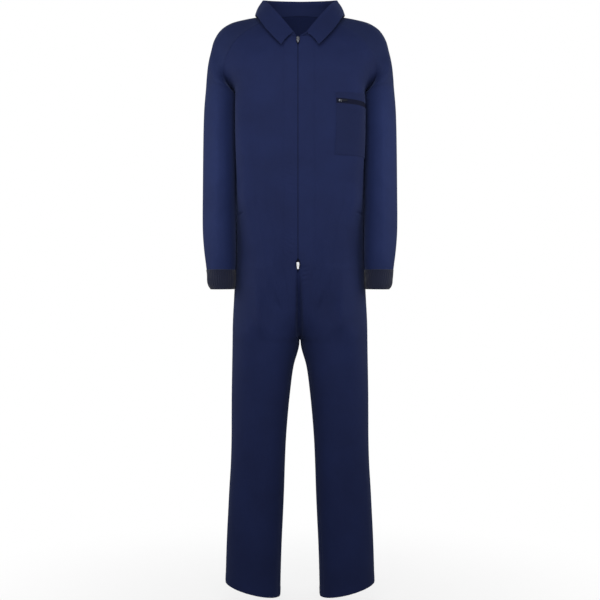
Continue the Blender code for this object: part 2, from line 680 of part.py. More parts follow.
def collar(halves, material):
    """Stand, fold and leaf in one wall, from the wearer's right front end round the back to the left one."""
    up = np.array([0.0, 0.0, 1.0])
    radius = COLLAR_FOLD / 2
    sides = {}
    for side, (front, back, sleeve) in halves.items():
        edge, onward = neck_seam(front, back, sleeve)
        lengths = np.concatenate([[0], np.cumsum(np.linalg.norm(np.diff(edge, axis=0), axis=1))])
        profiles = []
        for point, way, along in zip(edge, onward, lengths / lengths[-1]):
            c = COLLAR.at(along)
            flat = np.linalg.norm(way[:2])
            neck = point + way * (COLLAR_SEAM + flat * COLLAR_WALL / 2)
            if along == 0:
                neck[0] = 0.0
            fold = place(c["fold_x"], c["fold_y"], c["fold_height"])
            leaf = place(c["leaf_x"], c["leaf_y"], c["leaf_height"])
            outward = unit((leaf - fold) * np.array([1, 1, 0]))
            top_in = fold - up * radius
            points = [neck + (top_in - neck) * k / STAND_STEPS for k in range(STAND_STEPS)]
            for k in range(FOLD_STEPS + 1):
                angle = math.pi * k / FOLD_STEPS
                points.append(top_in + radius * (outward * (1 - math.cos(angle)) + up * math.sin(angle)))
            top_out = top_in + outward * COLLAR_FOLD
            for k in range(1, LEAF_STEPS + 1):
                share = k / LEAF_STEPS
                bulge = outward * LEAF_BULGE * math.sin(math.pi * share)
                points.append(top_out + (leaf - top_out) * share + bulge)
            profiles.append(np.array(points) * np.array([side, 1, 1]))
        sides[side] = profiles
    middle = np.array(sides[RIGHT][:0:-1] + sides[LEFT])
    normals = np.cross(np.gradient(middle, axis=1), np.gradient(middle, axis=0))
    normals /= np.linalg.norm(normals, axis=2)[:, :, None]
    wall("collar", middle + normals * COLLAR_WALL / 2, middle - normals * COLLAR_WALL / 2, material)


def block(name, size, centre):
    """A box as a mesh object, outside every collection until it is used."""
    bm = bmesh.new()
    bmesh.ops.create_cube(bm, size=1.0)
    bmesh.ops.scale(bm, vec=size, verts=bm.verts)
    bmesh.ops.translate(bm, vec=centre, verts=bm.verts)
    mesh = bpy.data.meshes.new(name)
    bm.to_mesh(mesh)
    bm.free()
    return bpy.data.objects.new(name, mesh)


def helper(name, size, centre, matrix):
    piece = block(name, size, centre)
    piece.matrix_world = matrix
    piece.hide_render = True
    piece.display_type = "WIRE"
    CUTTERS.objects.link(piece)
    return piece


def zip_slider(name, matrix, scale, material):
    """A slider body with a bridge over the pull's bar. The matrix stands on the tape, Z outwards."""
    body = block(name, SLIDER * scale, Vector((0, 0, SLIDER.z * scale / 2)))
    body.matrix_world = matrix
    body.data.materials.append(material)
    SUIT.objects.link(body)
    edges = body.modifiers.new("rounded edges", "BEVEL")
    edges.width = 0.0008 * scale
    edges.segments = 2
    overlap = 0.0006 * scale
    bridge_centre = Vector((0, 0, (SLIDER.z + BRIDGE.z / 2) * scale - overlap / 2))
    bridge_size = Vector((BRIDGE.x * scale, BRIDGE.y * scale, BRIDGE.z * scale + overlap))
    hole_centre = Vector((0, 0, (SLIDER.z + BRIDGE_HOLE.z / 2) * scale))
    union = body.modifiers.new("bridge", "BOOLEAN")
    union.operation = "UNION"
    union.object = helper(name + "_bridge", bridge_size, bridge_centre, matrix)
    cut = body.modifiers.new("bridge hole", "BOOLEAN")
    cut.operation = "DIFFERENCE"
    cut.object = helper(name + "_hole", BRIDGE_HOLE * scale, hole_centre, matrix)
    return body


def zip_pull(name, matrix, scale, length, material):
    """A flat slotted tab, hinged on its own bar under the slider's bridge, its origin on the hinge axis."""
    outline = bpy.data.curves.new(name, "CURVE")
    outline.dimensions = "2D"
    outline.fill_mode = "BOTH"
    outline.extrude = PULL_THICKNESS * scale / 2
    half_top, half_tip = PULL_WIDTH * scale / 2, PULL_TIP_WIDTH * scale / 2
    top, foot, corner = PULL_BAR * scale, -length, 0.0012 * scale
    shoulder = [(half_top - corner, top), (half_top, top - corner)]
    rim = [(-x, y) for x, y in reversed(shoulder)] + shoulder
    for k in range(9):
        angle = -math.pi * k / 8
        rim.append((half_tip * math.cos(angle), foot + half_tip + half_tip * math.sin(angle)))
    slot_top, slot_foot = -PULL_BAR * scale, -(PULL_BAR + SLOT_LENGTH) * scale
    half_slot = SLOT_WIDTH * scale / 2
    slot = [(-half_slot, slot_top), (half_slot, slot_top), (half_slot, slot_foot), (-half_slot, slot_foot)]
    for points in (rim, slot):
        spline = outline.splines.new("POLY")
        spline.points.add(len(points) - 1)
        spline.use_cyclic_u = True
        for point, (x, y) in zip(spline.points, points):
            point.co = (x, y, 0, 1)
    outline.materials.append(material)
    piece = bpy.data.objects.new(name, outline)
    hinge_height = (SLIDER.z + BRIDGE_HOLE.z / 2) * scale
    piece.matrix_world = matrix @ Matrix.Translation((0, 0, hinge_height))
    SUIT.objects.link(piece)
    return piece


def front_zip(fronts, tape_finish, dark_metal, silver):
    """Two tapes behind the front edges, and a slider with its pull at each end of the chain."""
    behind = CLOTH + TAPE_GAP
    for side, panel in fronts.items():
        outer, inner = [], []
        for row in panel.rows_between(TAPE_FOOT, panel.rows[-1] - SLIDER.y / 2):
            point, normal = panel.at(row, 0.0)
            closure = point.copy()
            closure[0] = side * CLOSURE.at(row)["x"] + SEAM / 2
            far, far_normal = panel.at(row, panel.column_at(row, TAPE_WIDTH))
            line = ((closure, normal), (point, normal), (far, far_normal))
            outer.append([p - n * behind for p, n in line])
            inner.append([p - n * (behind + TAPE) for p, n in line])
        wall(f"zip_tape_{SIDE_NAMES[side]}", outer, inner, tape_finish, side)
    for name, row, metal in (("lower", LOWER_SLIDER, silver), ("upper", UPPER_SLIDER, dark_metal)):
        seat = fronts[LEFT].seat(row, 0, SEAM - behind, True)
        zip_slider(f"zip_slider_{name}", seat, 1.0, metal)
        zip_pull(f"zip_pull_{name}", seat, 1.0, PULL_LENGTH, metal)


def chest_pocket(panel, cloth, tape_finish, silver):
    """A patch on the left chest with a zip mouth, under a stitched band."""
    from_edge = POCKET_START - HALF_GAPS[4]
    middle = 0.5 * (POCKET_FOOT[0] + POCKET_TOP[0])
    columns = panel.columns_between(
        panel.column_at(middle, from_edge), panel.column_at(middle, from_edge + POCKET_WIDTH)
    )

    def row_at(line, column):
        return float(np.interp(column, (columns[0], columns[-1]), line))

    def rows_from(low, high, gap=0.0):
        low, high = [np.array([row_at(line, column) for column in columns]) for line in (low, high)]
        shares = np.linspace(0, 1, 1 + math.ceil(max(high - low) / POCKET_ROW))
        return [[float(row) for row in low + gap + (high - low - gap) * share] for share in shares]

    body = rows_from(POCKET_FOOT, [row - SEAM for row in POCKET_ZIP_BOTTOM])
    panel.lay("chest_pocket", body, columns, PATCH_LIFT, PATCH, cloth)
    band = rows_from(POCKET_ZIP_TOP, POCKET_TOP, SEAM)
    panel.lay("chest_pocket_band", band, columns, PATCH_LIFT, PATCH, cloth)
    tape = rows_from(POCKET_ZIP_BOTTOM, POCKET_ZIP_TOP)
    panel.lay("chest_zip_tape", tape, columns, PATCH_LIFT, TAPE, tape_finish)
    middle = 0.5 * (POCKET_ZIP_BOTTOM[0] + POCKET_ZIP_TOP[0])
    at = panel.column_at(middle, from_edge + SLIDER.y)
    middle = 0.5 * (row_at(POCKET_ZIP_BOTTOM, at) + row_at(POCKET_ZIP_TOP, at))
    seat = panel.seat(middle, at, PATCH_LIFT + TAPE + SEAM, False)
    zip_slider("chest_zip_slider", seat, CHEST_ZIP_SCALE, silver)
    zip_pull("chest_zip_pull", seat, CHEST_ZIP_SCALE, CHEST_PULL_LENGTH, silver)


def hip_pocket(panel, cloth):
    """The mouth strip of a side pocket, which lies on the front next to the side seam."""
    middle = 0.5 * (HIP_MOUTH_BOTTOM + HIP_MOUTH_TOP)
    stop = panel.column_at(middle, -HIP_MOUTH_FROM_SEAM)
    start = panel.column_at(middle, -HIP_MOUTH_FROM_SEAM - HIP_MOUTH_WIDTH)
    columns = panel.columns_between(start, stop)
    rows = [[row] * len(columns) for row in panel.rows_between(HIP_MOUTH_BOTTOM, HIP_MOUTH_TOP)]
    panel.lay(f"hip_pocket_{SIDE_NAMES[panel.side]}", rows, columns, PATCH_LIFT, PATCH, cloth)


for old in list(bpy.data.objects):
    bpy.data.objects.remove(old, do_unlink=True)
SUIT = bpy.data.collections.new("boiler_suit")
CUTTERS = bpy.data.collections.new("boiler_suit_cutters")
bpy.context.scene.collection.children.link(SUIT)
bpy.context.scene.collection.children.link(CUTTERS)
CUTTERS.hide_render = True

twill = finish("navy_twill", (0.012, 0.018, 0.070), 0.85)
rib_knit = finish("black_rib", (0.012, 0.013, 0.020), 0.95)
zip_tape = finish("navy_tape", (0.008, 0.010, 0.035), 0.8)
silver_metal = finish("silver_metal", (0.62, 0.62, 0.64), 0.3, 1.0)
dark_metal = finish("dark_metal", (0.10, 0.11, 0.15), 0.35, 1.0)

halves = {half: (Panel("front", half), Panel("back", half), Sleeve(half)) for half in (LEFT, RIGHT)}
for front, back, arm in halves.values():
    front.build(twill)
    back.build(twill)
    arm.build(twill)
    arm.build_cuff(rib_knit)
    hip_pocket(front, twill)
collar(halves, twill)
front_zip({half: halves[half][0] for half in (LEFT, RIGHT)}, zip_tape, dark_metal, silver_metal)
chest_pocket(halves[LEFT][0], twill, zip_tape, silver_metal)
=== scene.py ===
"""A navy boiler suit: raglan sleeves, turned collar, two-way front zip, zipped chest pocket and rib cuffs.

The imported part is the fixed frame. The outer face of each cloth solid is read as a grid, refined into a
thin sheet, creased, and given its wall, weave and stitching. Metres, Z up, the front faces -Y and the
wearer's left is +X. Heights count from the lowest front hem.
"""

from __future__ import annotations

import logging
import math
from dataclasses import dataclass, field
from enum import Enum

import bmesh
import bpy
import numpy as np
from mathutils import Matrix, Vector
from mathutils.kdtree import KDTree


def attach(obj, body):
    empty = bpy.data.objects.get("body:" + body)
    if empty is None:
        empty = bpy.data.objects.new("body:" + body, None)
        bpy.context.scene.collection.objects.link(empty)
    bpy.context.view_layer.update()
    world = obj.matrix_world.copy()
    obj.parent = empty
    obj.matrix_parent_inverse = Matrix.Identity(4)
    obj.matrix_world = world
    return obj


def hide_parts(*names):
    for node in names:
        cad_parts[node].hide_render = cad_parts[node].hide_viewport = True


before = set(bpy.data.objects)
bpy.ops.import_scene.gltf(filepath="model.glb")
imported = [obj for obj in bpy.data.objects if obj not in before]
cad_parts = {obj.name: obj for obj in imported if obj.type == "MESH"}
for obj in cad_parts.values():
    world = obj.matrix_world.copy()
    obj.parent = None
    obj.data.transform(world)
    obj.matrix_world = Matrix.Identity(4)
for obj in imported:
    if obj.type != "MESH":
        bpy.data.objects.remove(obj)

LOG = logging.getLogger("boiler_suit")
Grid = np.ndarray
Point = bmesh.types.BMVert
Row = list[Point]
Socket = bpy.types.NodeSocket
Material = bpy.types.Material
Runs = tuple[Grid, Grid, Grid]
Pair = tuple[float, float]
Triple = tuple[float, float, float]
Line = tuple[Grid, Grid]


class Side(Enum):
    """Which of the wearer's sides a piece belongs to, with the sign of its x."""

    LEFT = 1
    RIGHT = -1

    @property
    def word(self) -> str:
        """The side's name as the nodes spell it."""
        return self.name.lower()


class Edge(Enum):
    """An edge of a sheet's grid: whether it is a row, and whether it is the last row or column.

    On a front or back, the first column is the middle of the body and the inseam.
    """

    FIRST = (False, False)
    LAST = (False, True)
    FOOT = (True, False)
    HEAD = (True, True)


SIDES = (Edge.FIRST, Edge.LAST)
FRONT, BACK, UP = Vector((0, -1, 0)), Vector((0, 1, 0)), Vector((0, 0, 1))

# the garment's own places
MOUNT_HEIGHT = 1.590
CLOSURE = -0.0055
PLACKET = {Side.LEFT: 0.0437, Side.RIGHT: 0.0382}
ZIP_FOOT, ZIP_HEAD = 0.880, 1.5055
LOWER_SLIDER, UPPER_SLIDER = 0.8965, 1.5020
SHOULDER_CREASES = (1.32, 1.47)
UNDERARM = 1.45
HEM = 0.018
SEAM_STITCH, POCKET_STITCH, PLACKET_STITCH = 0.005, 0.002, 0.001

# walls
CLOTH, POCKET_WALL, COLLAR_WALL, TAPE_WALL = 0.0014, 0.0012, 0.0018, 0.0008

# how a solid's outer side is found and read
BROAD_CELLS = (0.0021, math.radians(75))  # the shortest edge on it, and the turn at its border
NARROW_CELLS = (0.0, math.radians(50))  # the same where the cells are narrow
BROAD_SHARE, FACING = 0.3, 0.6  # its first face: the least share of the largest one, and of looking outward
CORNER_TURN = math.radians(135)  # the widest angle between two border edges at a corner
TUBE_RISE = 0.01  # how far above the foot the lowest corner may lie, or else the piece is a tube
WHOLE = 0.98  # the least share of the side that its rows cover
WELD = 0.00002  # points that lie closer are one

# the fine grid
BODY_PITCH = (0.005, 0.0022)  # between the rows and between the columns of a front or back
RIM, RIM_MARGIN = (0.0007, 0.0018), 1.3  # the rows beside an edge, and how much further in the rest starts
FINE_BAND = (0.82, 1.31)  # the heights between which a front's or back's rows lie closer
FINE_DENSITY = 2.4  # how many times closer
DENSITY_SAMPLES = 1500

# how cloth behaves
SHARP_TURN = math.radians(50)  # an edge that turns more is shaded sharp
SEAM_CALM = 0.014  # folds die out this close to a seam
SQUARE_EASE, SQUARE_TURN = 0.06, 1.3  # the height in which squaring ends, and how much it keeps to the corner
JOIN = 0.00016  # how far a sheet grows to meet its neighbour
FOLD_STRENGTH, FOLD_ENDS, FOLD_FACING = 1.5, 1.2, 1.6
PUCKER_DRIFT, DRIFT_SPAN, PUCKER_SLANT = 0.8, 3.7, 0.2  # in pitches: the uneven step, its length, the slant
PUCKER_LEAST, PUCKER_SWELL, SWELL_SPAN, SWELL_START = 0.55, 0.45, 2.3, 1.7  # how their depth comes and goes
PUCKER_FADE = 0.15  # the height in which they die out
HEM_STEP, LIFT_CURVE = 0.0025, 1.5  # the width of a hem's upper slope, and how late a lift sets in
NEIGHBOURS, NEIGHBOUR_BLUR = 8, 0.001  # the points that a pocket follows, and how evenly
ANY_HEIGHT = 9.0  # above everything


def level(height: float) -> float:
    """World z of a height above the lowest front hem."""
    return height - MOUNT_HEIGHT


def new_object(name: str, data: bpy.types.ID) -> bpy.types.Object:
    """Adds an object to the scene."""
    made = bpy.data.objects.new(name, data)
    bpy.context.scene.collection.objects.link(made)
    return made


# ---------------- finishes

ONE_WAVE = 0.314  # the wave texture's scale for one wave in a metre
RIB_TURN = math.radians(27)


class NodeGraph:
    """A material's shader nodes."""

    def __init__(self, name: str) -> None:
        """Starts a material with its Principled shader and its texture coordinates."""
        self.material = bpy.data.materials.new(name)
        self.material.use_nodes = True
        self.tree = self.material.node_tree
        self.shader = self.tree.nodes["Principled BSDF"]
        coordinates = self.add("TexCoord").outputs
        self.place, self.grain = coordinates["Object"], coordinates["UV"]

    def set(self, node: bpy.types.Node, **values: object) -> bpy.types.Node:
        """Sets a node's properties and inputs by name, with underscores for spaces. An output is linked."""
        for key, value in values.items():
            if hasattr(node, key):
                setattr(node, key, value)
                continue
            entry = node.inputs[key.replace("_", " ")]
            if isinstance(value, Socket):
                self.tree.links.new(value, entry)
            else:
                entry.default_value = value
        return node

    def add(self, kind: str, **values: object) -> bpy.types.Node:
        """Adds a node and sets it."""
        return self.set(self.tree.nodes.new(f"ShaderNode{kind}"), **values)

    def noise(self, scale: float, detail: float, roughness: float = 0.5) -> Socket:
        """Cloudy noise in the object's own space."""
        made = self.add("TexNoise", Vector=self.place, Scale=scale, Detail=detail, Roughness=roughness)
        return made.outputs["Fac"]

    def ridges(self, pitch: float, distortion: float) -> Socket:
        """Level ridges, one above the other."""
        values = {"Vector": self.place, "Scale": ONE_WAVE / pitch, "Distortion": distortion}
        return self.add("TexWave", bands_direction="Z", **values).outputs["Fac"]

    def ramp(self, share: Socket, dark: Triple, light: Triple, ends: Pair = (0.0, 1.0)) -> Socket:
        """The colour between two, by where a share lies between two ends."""
        made = self.add("ValToRGB", Fac=share)
        for element, position, colour in zip(made.color_ramp.elements, ends, (dark, light)):
            element.position, element.color = position, (*colour, 1)
        return made.outputs["Color"]

    def emboss(self, height: Socket, strength: float, depth: float) -> None:
        """Gives the surface a fine relief."""
        bump = self.add("Bump", Strength=strength, Distance=depth, Height=height)
        self.set(self.shader, Normal=bump.outputs["Normal"])

    def dye(self, colour: Socket | tuple[float, ...], **values: object) -> Material:
        """Sets the shader's colour and other inputs, and gives the finished material."""
        self.set(self.shader, Base_Color=colour, **values)
        return self.material


def toned(colour: Triple, share: float) -> Triple:
    """A colour made lighter or darker."""
    return tuple(share * part for part in colour)


@dataclass(frozen=True)
class Finish:
    """How a piece's surface looks.

    Attributes:
        name: The material's name.
        slot: The name of its material slot, which is not used.
    """

    name: str
    slot: str

    def material(self) -> Material:
        """Builds the material."""
        raise NotImplementedError


@dataclass(frozen=True)
class Twill(Finish):
    """Cotton-blend twill: a fine diagonal rib, a soft sheen and slow changes of tone.

    Attributes:
        light: The colour where the dye is lightest.
        dark: The colour where it is darkest.
        rib_pitch: Distance between two diagonal ribs.
        rib_depth: Height of a rib.
        deepens: The heights between which a painted shade darkens the colour more and more, as on the top of
            the sleeves.
        deepest: What is left of the colour above them, under that painted shade.
    """

    name: str = "navy_twill_cloth"
    slot: str = "navy_twill"
    light: Triple = (0.0102, 0.0196, 0.0880)
    dark: Triple = (0.0071, 0.0136, 0.0640)
    rib_pitch: float = 0.0011
    rib_depth: float = 0.00012
    deepens: Pair | None = None
    deepest: float = 0.72

    def material(self) -> Material:
        """Builds the material: ribs along the cloth's own grain, a tone with slow and fine changes, and any
        painted shade.
        """
        graph = NodeGraph(self.name)
        turned = graph.add("Mapping", Vector=graph.grain, Rotation=(0, 0, RIB_TURN)).outputs["Vector"]
        scale = ONE_WAVE / self.rib_pitch
        rib = graph.add("TexWave", wave_profile="SIN", Vector=turned, Scale=scale, Distortion=0.6, Detail=1.0)
        tone, slub = graph.noise(9.0, 4.0, 0.55), graph.noise(900.0, 2.0)
        mixed = graph.add("Mix", data_type="FLOAT", Factor=0.35, A=tone, B=slub)
        colour = graph.ramp(mixed.outputs["Result"], self.dark, self.light, (0.30, 0.70))
        # painted shade: darkens the colour above a height
        if self.deepens:
            colour = self.deepened(graph, colour)
        graph.emboss(rib.outputs["Fac"], 0.6, self.rib_depth)
        graph.set(graph.shader, Sheen_Weight=0.12, Sheen_Roughness=0.45, Sheen_Tint=(0.35, 0.45, 0.9, 1))
        return graph.dye(colour, Roughness=0.82, Specular_IOR_Level=0.25)

    def deepened(self, graph: NodeGraph, colour: Socket) -> Socket:
        """The colour under a painted shade that darkens it more and more up to a height."""
        height = graph.add("SeparateXYZ", Vector=graph.place).outputs["Z"]
        low, high = (level(end) for end in self.deepens)
        share = graph.add("MapRange", interpolation_type="SMOOTHSTEP", Value=height)
        graph.set(share, From_Min=low, From_Max=high, To_Min=1.0, To_Max=self.deepest)
        scaled = graph.add("VectorMath", operation="SCALE", Vector=colour, Scale=share.outputs["Result"])
        return scaled.outputs["Vector"]


@dataclass(frozen=True)
class WovenTape(Finish):
    """The zip's dark woven tape.

    Attributes:
        colour: The base colour.
        pitch: Distance between two woven ridges.
    """

    name: str = "woven_zip_tape"
    slot: str = "navy_tape"
    colour: Triple = (0.0060, 0.0085, 0.0300)
    pitch: float = 0.0016

    def material(self) -> Material:
        """Builds the material: a painted shade darkens it between its ridges."""
        graph = NodeGraph(self.name)
        ridge = graph.ridges(self.pitch, 1.5)
        graph.emboss(ridge, 0.5, 0.0002)
        # painted shade: the colour is darker in the grooves between the ridges
        woven = graph.ramp(ridge, toned(self.colour, 0.7), self.colour)
        return graph.dye(woven, Roughness=0.9, Specular_IOR_Level=0.2)


@dataclass(frozen=True)
class RibKnit(Finish):
    """Near-black rib knit of the cuffs: rows of small stitches on the upright ribs.

    Attributes:
        colour: The base colour.
        stitch: Height of one knitted stitch.
    """

    name: str = "black_rib_knit"
    slot: str = "black_rib"
    colour: Triple = (0.0165, 0.0200, 0.0460)
    stitch: float = 0.0014

    def material(self) -> Material:
        """Builds the material: rows of stitches under a fuzz of lighter and darker yarn."""
        graph = NodeGraph(self.name)
        graph.emboss(graph.ridges(self.stitch, 0.8), 0.5, 0.0003)
        yarn = graph.ramp(graph.noise(700.0, 3.0), toned(self.colour, 0.6), toned(self.colour, 1.3))
        return graph.dye(yarn, Roughness=0.95, Sheen_Weight=0.2, Specular_IOR_Level=0.2)


@dataclass(frozen=True)
class CastMetal(Finish):
    """Cast zip metal with a fine brushed grain.

    Attributes:
        colour: The base colour.
        roughness: The shader's roughness where the metal is most polished.
    """

    colour: Triple
    roughness: float

    def material(self) -> Material:
        """Builds the material: polish and tone follow the same fine wear."""
        graph = NodeGraph(self.name)
        wear = graph.noise(1200.0, 3.0)
        rough = graph.add("MapRange", Value=wear, To_Min=self.roughness, To_Max=self.roughness + 0.2)
        graph.emboss(wear, 0.2, 0.00005)
        worn = graph.ramp(wear, toned(self.colour, 0.7), self.colour)
        return graph.dye(worn, Roughness=rough.outputs["Result"], Metallic=1.0)


# ---------------- grids


def running(steps: Grid, axis: int = 0) -> Grid:
    """The sums of steps along an axis, from zero."""
    return np.concatenate([np.zeros_like(steps.take([0], axis)), np.cumsum(steps, axis=axis)], axis=axis)


def lengths(points: Grid, axis: int = 0) -> Grid:
    """Each point's distance from the first, along an axis of a grid or line."""
    return running(np.linalg.norm(np.diff(points, axis=axis), axis=-1), axis)


def share_of(values: Grid) -> Grid:
    """Values kept between none and all."""
    return np.clip(values, 0, 1)


def eased(values: Grid) -> Grid:
    """Shares that start and end softly."""
    share = share_of(values)
    return share * share * (3 - 2 * share)


def unit(vectors: Grid) -> Grid:
    """Vectors brought to a length of one."""
    return vectors / np.maximum(np.linalg.norm(vectors, axis=-1), 1e-12)[..., None]


def sampled(wanted: Grid | float, keys: Grid, values: Grid) -> Grid:
    """Points or normals read at places between those of a line."""
    return np.stack([np.interp(wanted, keys, values[:, k]) for k in range(3)], axis=-1)


def closed_rows(grid: Grid) -> Grid:
    """Which rows of a grid come round to their start."""
    return np.linalg.norm(grid[:, 0] - grid[:, -1], axis=1) < WELD


class WallReader:
    """Reads the outer side of a node's wall as rows of points.

    The wall is a grid of cells on each side and a narrow rim. Each cell is two triangles, and all cells of a
    side are split on the same diagonal.
    """

    def __init__(self, node: str, outward: Vector, limits: Pair) -> None:
        """Loads the node and finds the faces of its outer side, from the one that is furthest outward.

        Args:
            node: The CAD node.
            outward: Where that face looks.
            limits: The shortest edge on this side, and the turn that ends it.
        """
        self.bm = bmesh.new()
        self.bm.from_mesh(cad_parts[node].data)
        bmesh.ops.remove_doubles(self.bm, verts=self.bm.verts, dist=WELD)
        shortest, turn = limits
        faces = self.bm.faces
        rim = {face for face in faces if min(edge.calc_length() for edge in face.edges) < shortest}
        self.outer = {self.outermost(outward)}
        waiting = list(self.outer)
        while waiting:
            soft = [edge for edge in waiting.pop().edges if edge.calc_face_angle() < turn]
            beside = {face for edge in soft for face in edge.link_faces} - self.outer - rim
            self.outer |= beside
            waiting += beside
        self.outer |= {
            face
            for face in faces
            if sum(not self.outer.isdisjoint(edge.link_faces) for edge in face.edges) > 1
        }

    def outermost(self, outward: Vector) -> bmesh.types.BMFace:
        """The broad face that looks outwards from furthest out."""
        faces = self.bm.faces
        broad = BROAD_SHARE * max(face.calc_area() for face in faces)
        facing = [face for face in faces if face.normal.dot(outward) > FACING and face.calc_area() > broad]
        return max(facing, key=lambda face: face.calc_center_median().dot(outward))

    def borders(self, point: Point) -> list[bmesh.types.BMEdge]:
        """The edges at a point where the outer side ends."""
        return [edge for edge in point.link_edges if len(self.outer.intersection(edge.link_faces)) == 1]

    def is_corner(self, point: Point) -> bool:
        """Whether the border turns sharply at a point."""
        one, two = (edge.other_vert(point).co - point.co for edge in self.borders(point)[:2])
        return one.angle(two) < CORNER_TURN

    def first_row(self) -> Row:
        """The border along the rows, from its lowest corner to the next, or once round a tube's end."""
        border = [point for point in self.bm.verts if self.borders(point)]
        foot = min(border, key=lambda point: point.co.z)
        corners = [point for point in border if self.is_corner(point)]
        start = min(corners, key=lambda point: point.co.z, default=None)
        if start is None or start.co.z - foot.co.z > TUBE_RISE:
            start, corners = foot, []

        def steepness(edge: bmesh.types.BMEdge) -> float:
            """How steeply an edge leaves the start."""
            run = edge.other_vert(start).co - start.co
            return abs(run.z) / run.length

        edge = min(self.borders(start), key=steepness)
        row = [start, edge.other_vert(start)]
        while row[-1] is not start and row[-1] not in corners:
            edge = next(other for other in self.borders(row[-1]) if other is not edge)
            row.append(edge.other_vert(row[-1]))
        return row

    def rows(self, first: Row, leans_back: bool) -> list[Row] | None:
        """Finds the rows above the first.

        Args:
            first: The first row, from the seam.
            leans_back: Whether it is the next row's first point, and not its last, that no edge faces.

        Returns:
            All rows, or nothing where the first row starts beside the seam or the cells lean the other way.
        """
        rows = [first]
        borders = [edge for point in first for edge in self.borders(point)]
        used = {face for edge in borders for face in edge.link_faces} - self.outer

        def onward(here: Point, there: Point) -> Point:
            """The third point of the unused triangle on an edge."""
            face = next(face for face in here.link_faces if there in face.verts and face not in used)
            used.add(face)
            return next(point for point in face.verts if point not in (here, there))

        def row_above(row: Row) -> Row:
            """The points opposite a row's edges, and the one that closes it."""
            tips = [onward(here, there) for here, there in zip(row, row[1:])]
            tips = [onward(row[0], tips[0]), *tips] if leans_back else [*tips, onward(row[-1], tips[-1])]
            for here, there in zip(tips, tips[1:]):
                shared = [face for face in here.link_faces if there in face.verts]
                used.update(face for face in shared if set(face.verts) & set(row))
            return tips

        try:
            for _ in range(round(len(self.outer) / 2 / (len(first) - 1))):
                rows.append(row_above(rows[-1]))
        except StopIteration:
            return None
        return rows if len(used & self.outer) > WHOLE * len(self.outer) else None

    def grid(self) -> Grid:
        """The outer side's points by row, from the foot up. A closed row ends with its first point."""
        first = self.first_row()
        turns = range(len(first) - 1 if first[0] is first[-1] else 1)
        starts = [first[turn:] + first[1 : turn + 1] for turn in turns]
        walks = (self.rows(start, leans_back) for leans_back in (True, False) for start in starts)
        rows = next(rows for rows in walks if rows)
        grid = np.array([[point.co for point in row] for row in rows])
        self.bm.free()
        return grid if grid[-1, :, 2].mean() > grid[0, :, 2].mean() else grid[::-1]


def chords(grid: Grid) -> Grid:
    """Mean distance from the first row to each row."""
    return running(np.linalg.norm(np.diff(grid, axis=0), axis=2).mean(axis=1))


def smooth_rows(grid: Grid, keys: Grid, wanted: Grid, closed: Grid | None = None) -> Grid:
    """Reads rows between those of a grid, on a smooth curve through them.

    Args:
        grid: Points by row and column.
        keys: The place of each row.
        wanted: The places to read.
        closed: Which columns come round to their start, so that the curve runs on through it.

    Returns:
        One row for each wanted place.
    """
    steps = np.diff(keys)
    rises = np.diff(grid, axis=0) / steps[:, None, None]
    weight = (steps[:-1] / (steps[:-1] + steps[1:]))[:, None, None]
    slopes = np.empty_like(grid)
    slopes[1:-1] = rises[:-1] * (1 - weight) + rises[1:] * weight
    slopes[0], slopes[-1] = rises[0], rises[-1]
    if closed is not None:
        share = steps[-1] / (steps[-1] + steps[0])
        joined = rises[-1] * (1 - share) + rises[0] * share
        slopes[0][closed] = slopes[-1][closed] = joined[closed]
    at = np.clip(np.searchsorted(keys, wanted, side="right") - 1, 0, len(keys) - 2)
    t = ((wanted - keys[at]) / steps[at])[:, None, None]
    span = steps[at][:, None, None]
    square, cube = t * t, t**3
    return (
        (2 * cube - 3 * square + 1) * grid[at]
        + (cube - 2 * square + t) * span * slopes[at]
        + (3 * square - 2 * cube) * grid[at + 1]
        + (cube - square) * span * slopes[at + 1]
    )


def places(keys: Grid, pitch: float) -> Grid:
    """Places at an even pitch along keys, and a few close to either end for the rolled edge."""
    length = keys[-1]
    even = np.linspace(0, length, max(2, round(length / pitch)) + 1)
    near, margin = np.array(RIM), RIM[-1] * RIM_MARGIN
    inner = even[(even > margin) & (even < length - margin)]
    return np.concatenate([[0], near, inner, length - near[::-1], [length]])


def graded(keys: Grid, heights: Grid, even: Grid) -> Grid:
    """Even places along keys, drawn closer together where the heights lie in the fine band."""
    samples = np.linspace(0, keys[-1], DENSITY_SAMPLES)
    levels = np.interp(samples, keys, heights)
    density = np.where((levels > FINE_BAND[0]) & (levels < FINE_BAND[1]), FINE_DENSITY, 1.0)
    count = running(density[1:])
    return np.interp(even / even[-1] * count[-1], count, samples)


def refined(grid: Grid, pitch_up: float, pitch_across: float, banded: bool) -> Grid:
    """A finer grid on the smooth surface through all points of a grid.

    Args:
        grid: Points by row and column.
        pitch_up: Distance between the new rows.
        pitch_across: Distance between the new columns.
        banded: Whether the rows lie closer within the fine band.

    Returns:
        The finer grid.
    """
    across = grid.transpose(1, 0, 2)
    keys = chords(across)
    wide = smooth_rows(across, keys, places(keys, pitch_across), closed_rows(grid)).transpose(1, 0, 2)
    keys = chords(wide)
    wanted = places(keys, pitch_up)
    if banded:
        rim = len(RIM) + 1
        wanted[rim:-rim] = graded(keys, wide[:, :, 2].mean(axis=1) + MOUNT_HEIGHT, wanted)[rim:-rim]
    return smooth_rows(wide, keys, wanted)


def normals_on(grid: Grid, outward: Vector) -> Grid:
    """Unit normals of a grid, on the side that looks outward at its outermost point."""
    across, up = np.gradient(grid, axis=1), np.gradient(grid, axis=0)
    closed = closed_rows(grid)
    joined = grid[:, 1] - grid[:, -2]
    across[closed, 0] = across[closed, -1] = joined[closed]
    normals = unit(np.cross(across, up))
    side = np.array(outward)
    outermost = np.unravel_index((grid @ side).argmax(), grid.shape[:2])
    facing = normals[max(outermost[0], 1) - 1 : outermost[0] + 2].reshape(-1, 3) @ side
    return normals * (1 if facing[np.abs(facing).argmax()] > 0 else -1)


# ---------------- folds


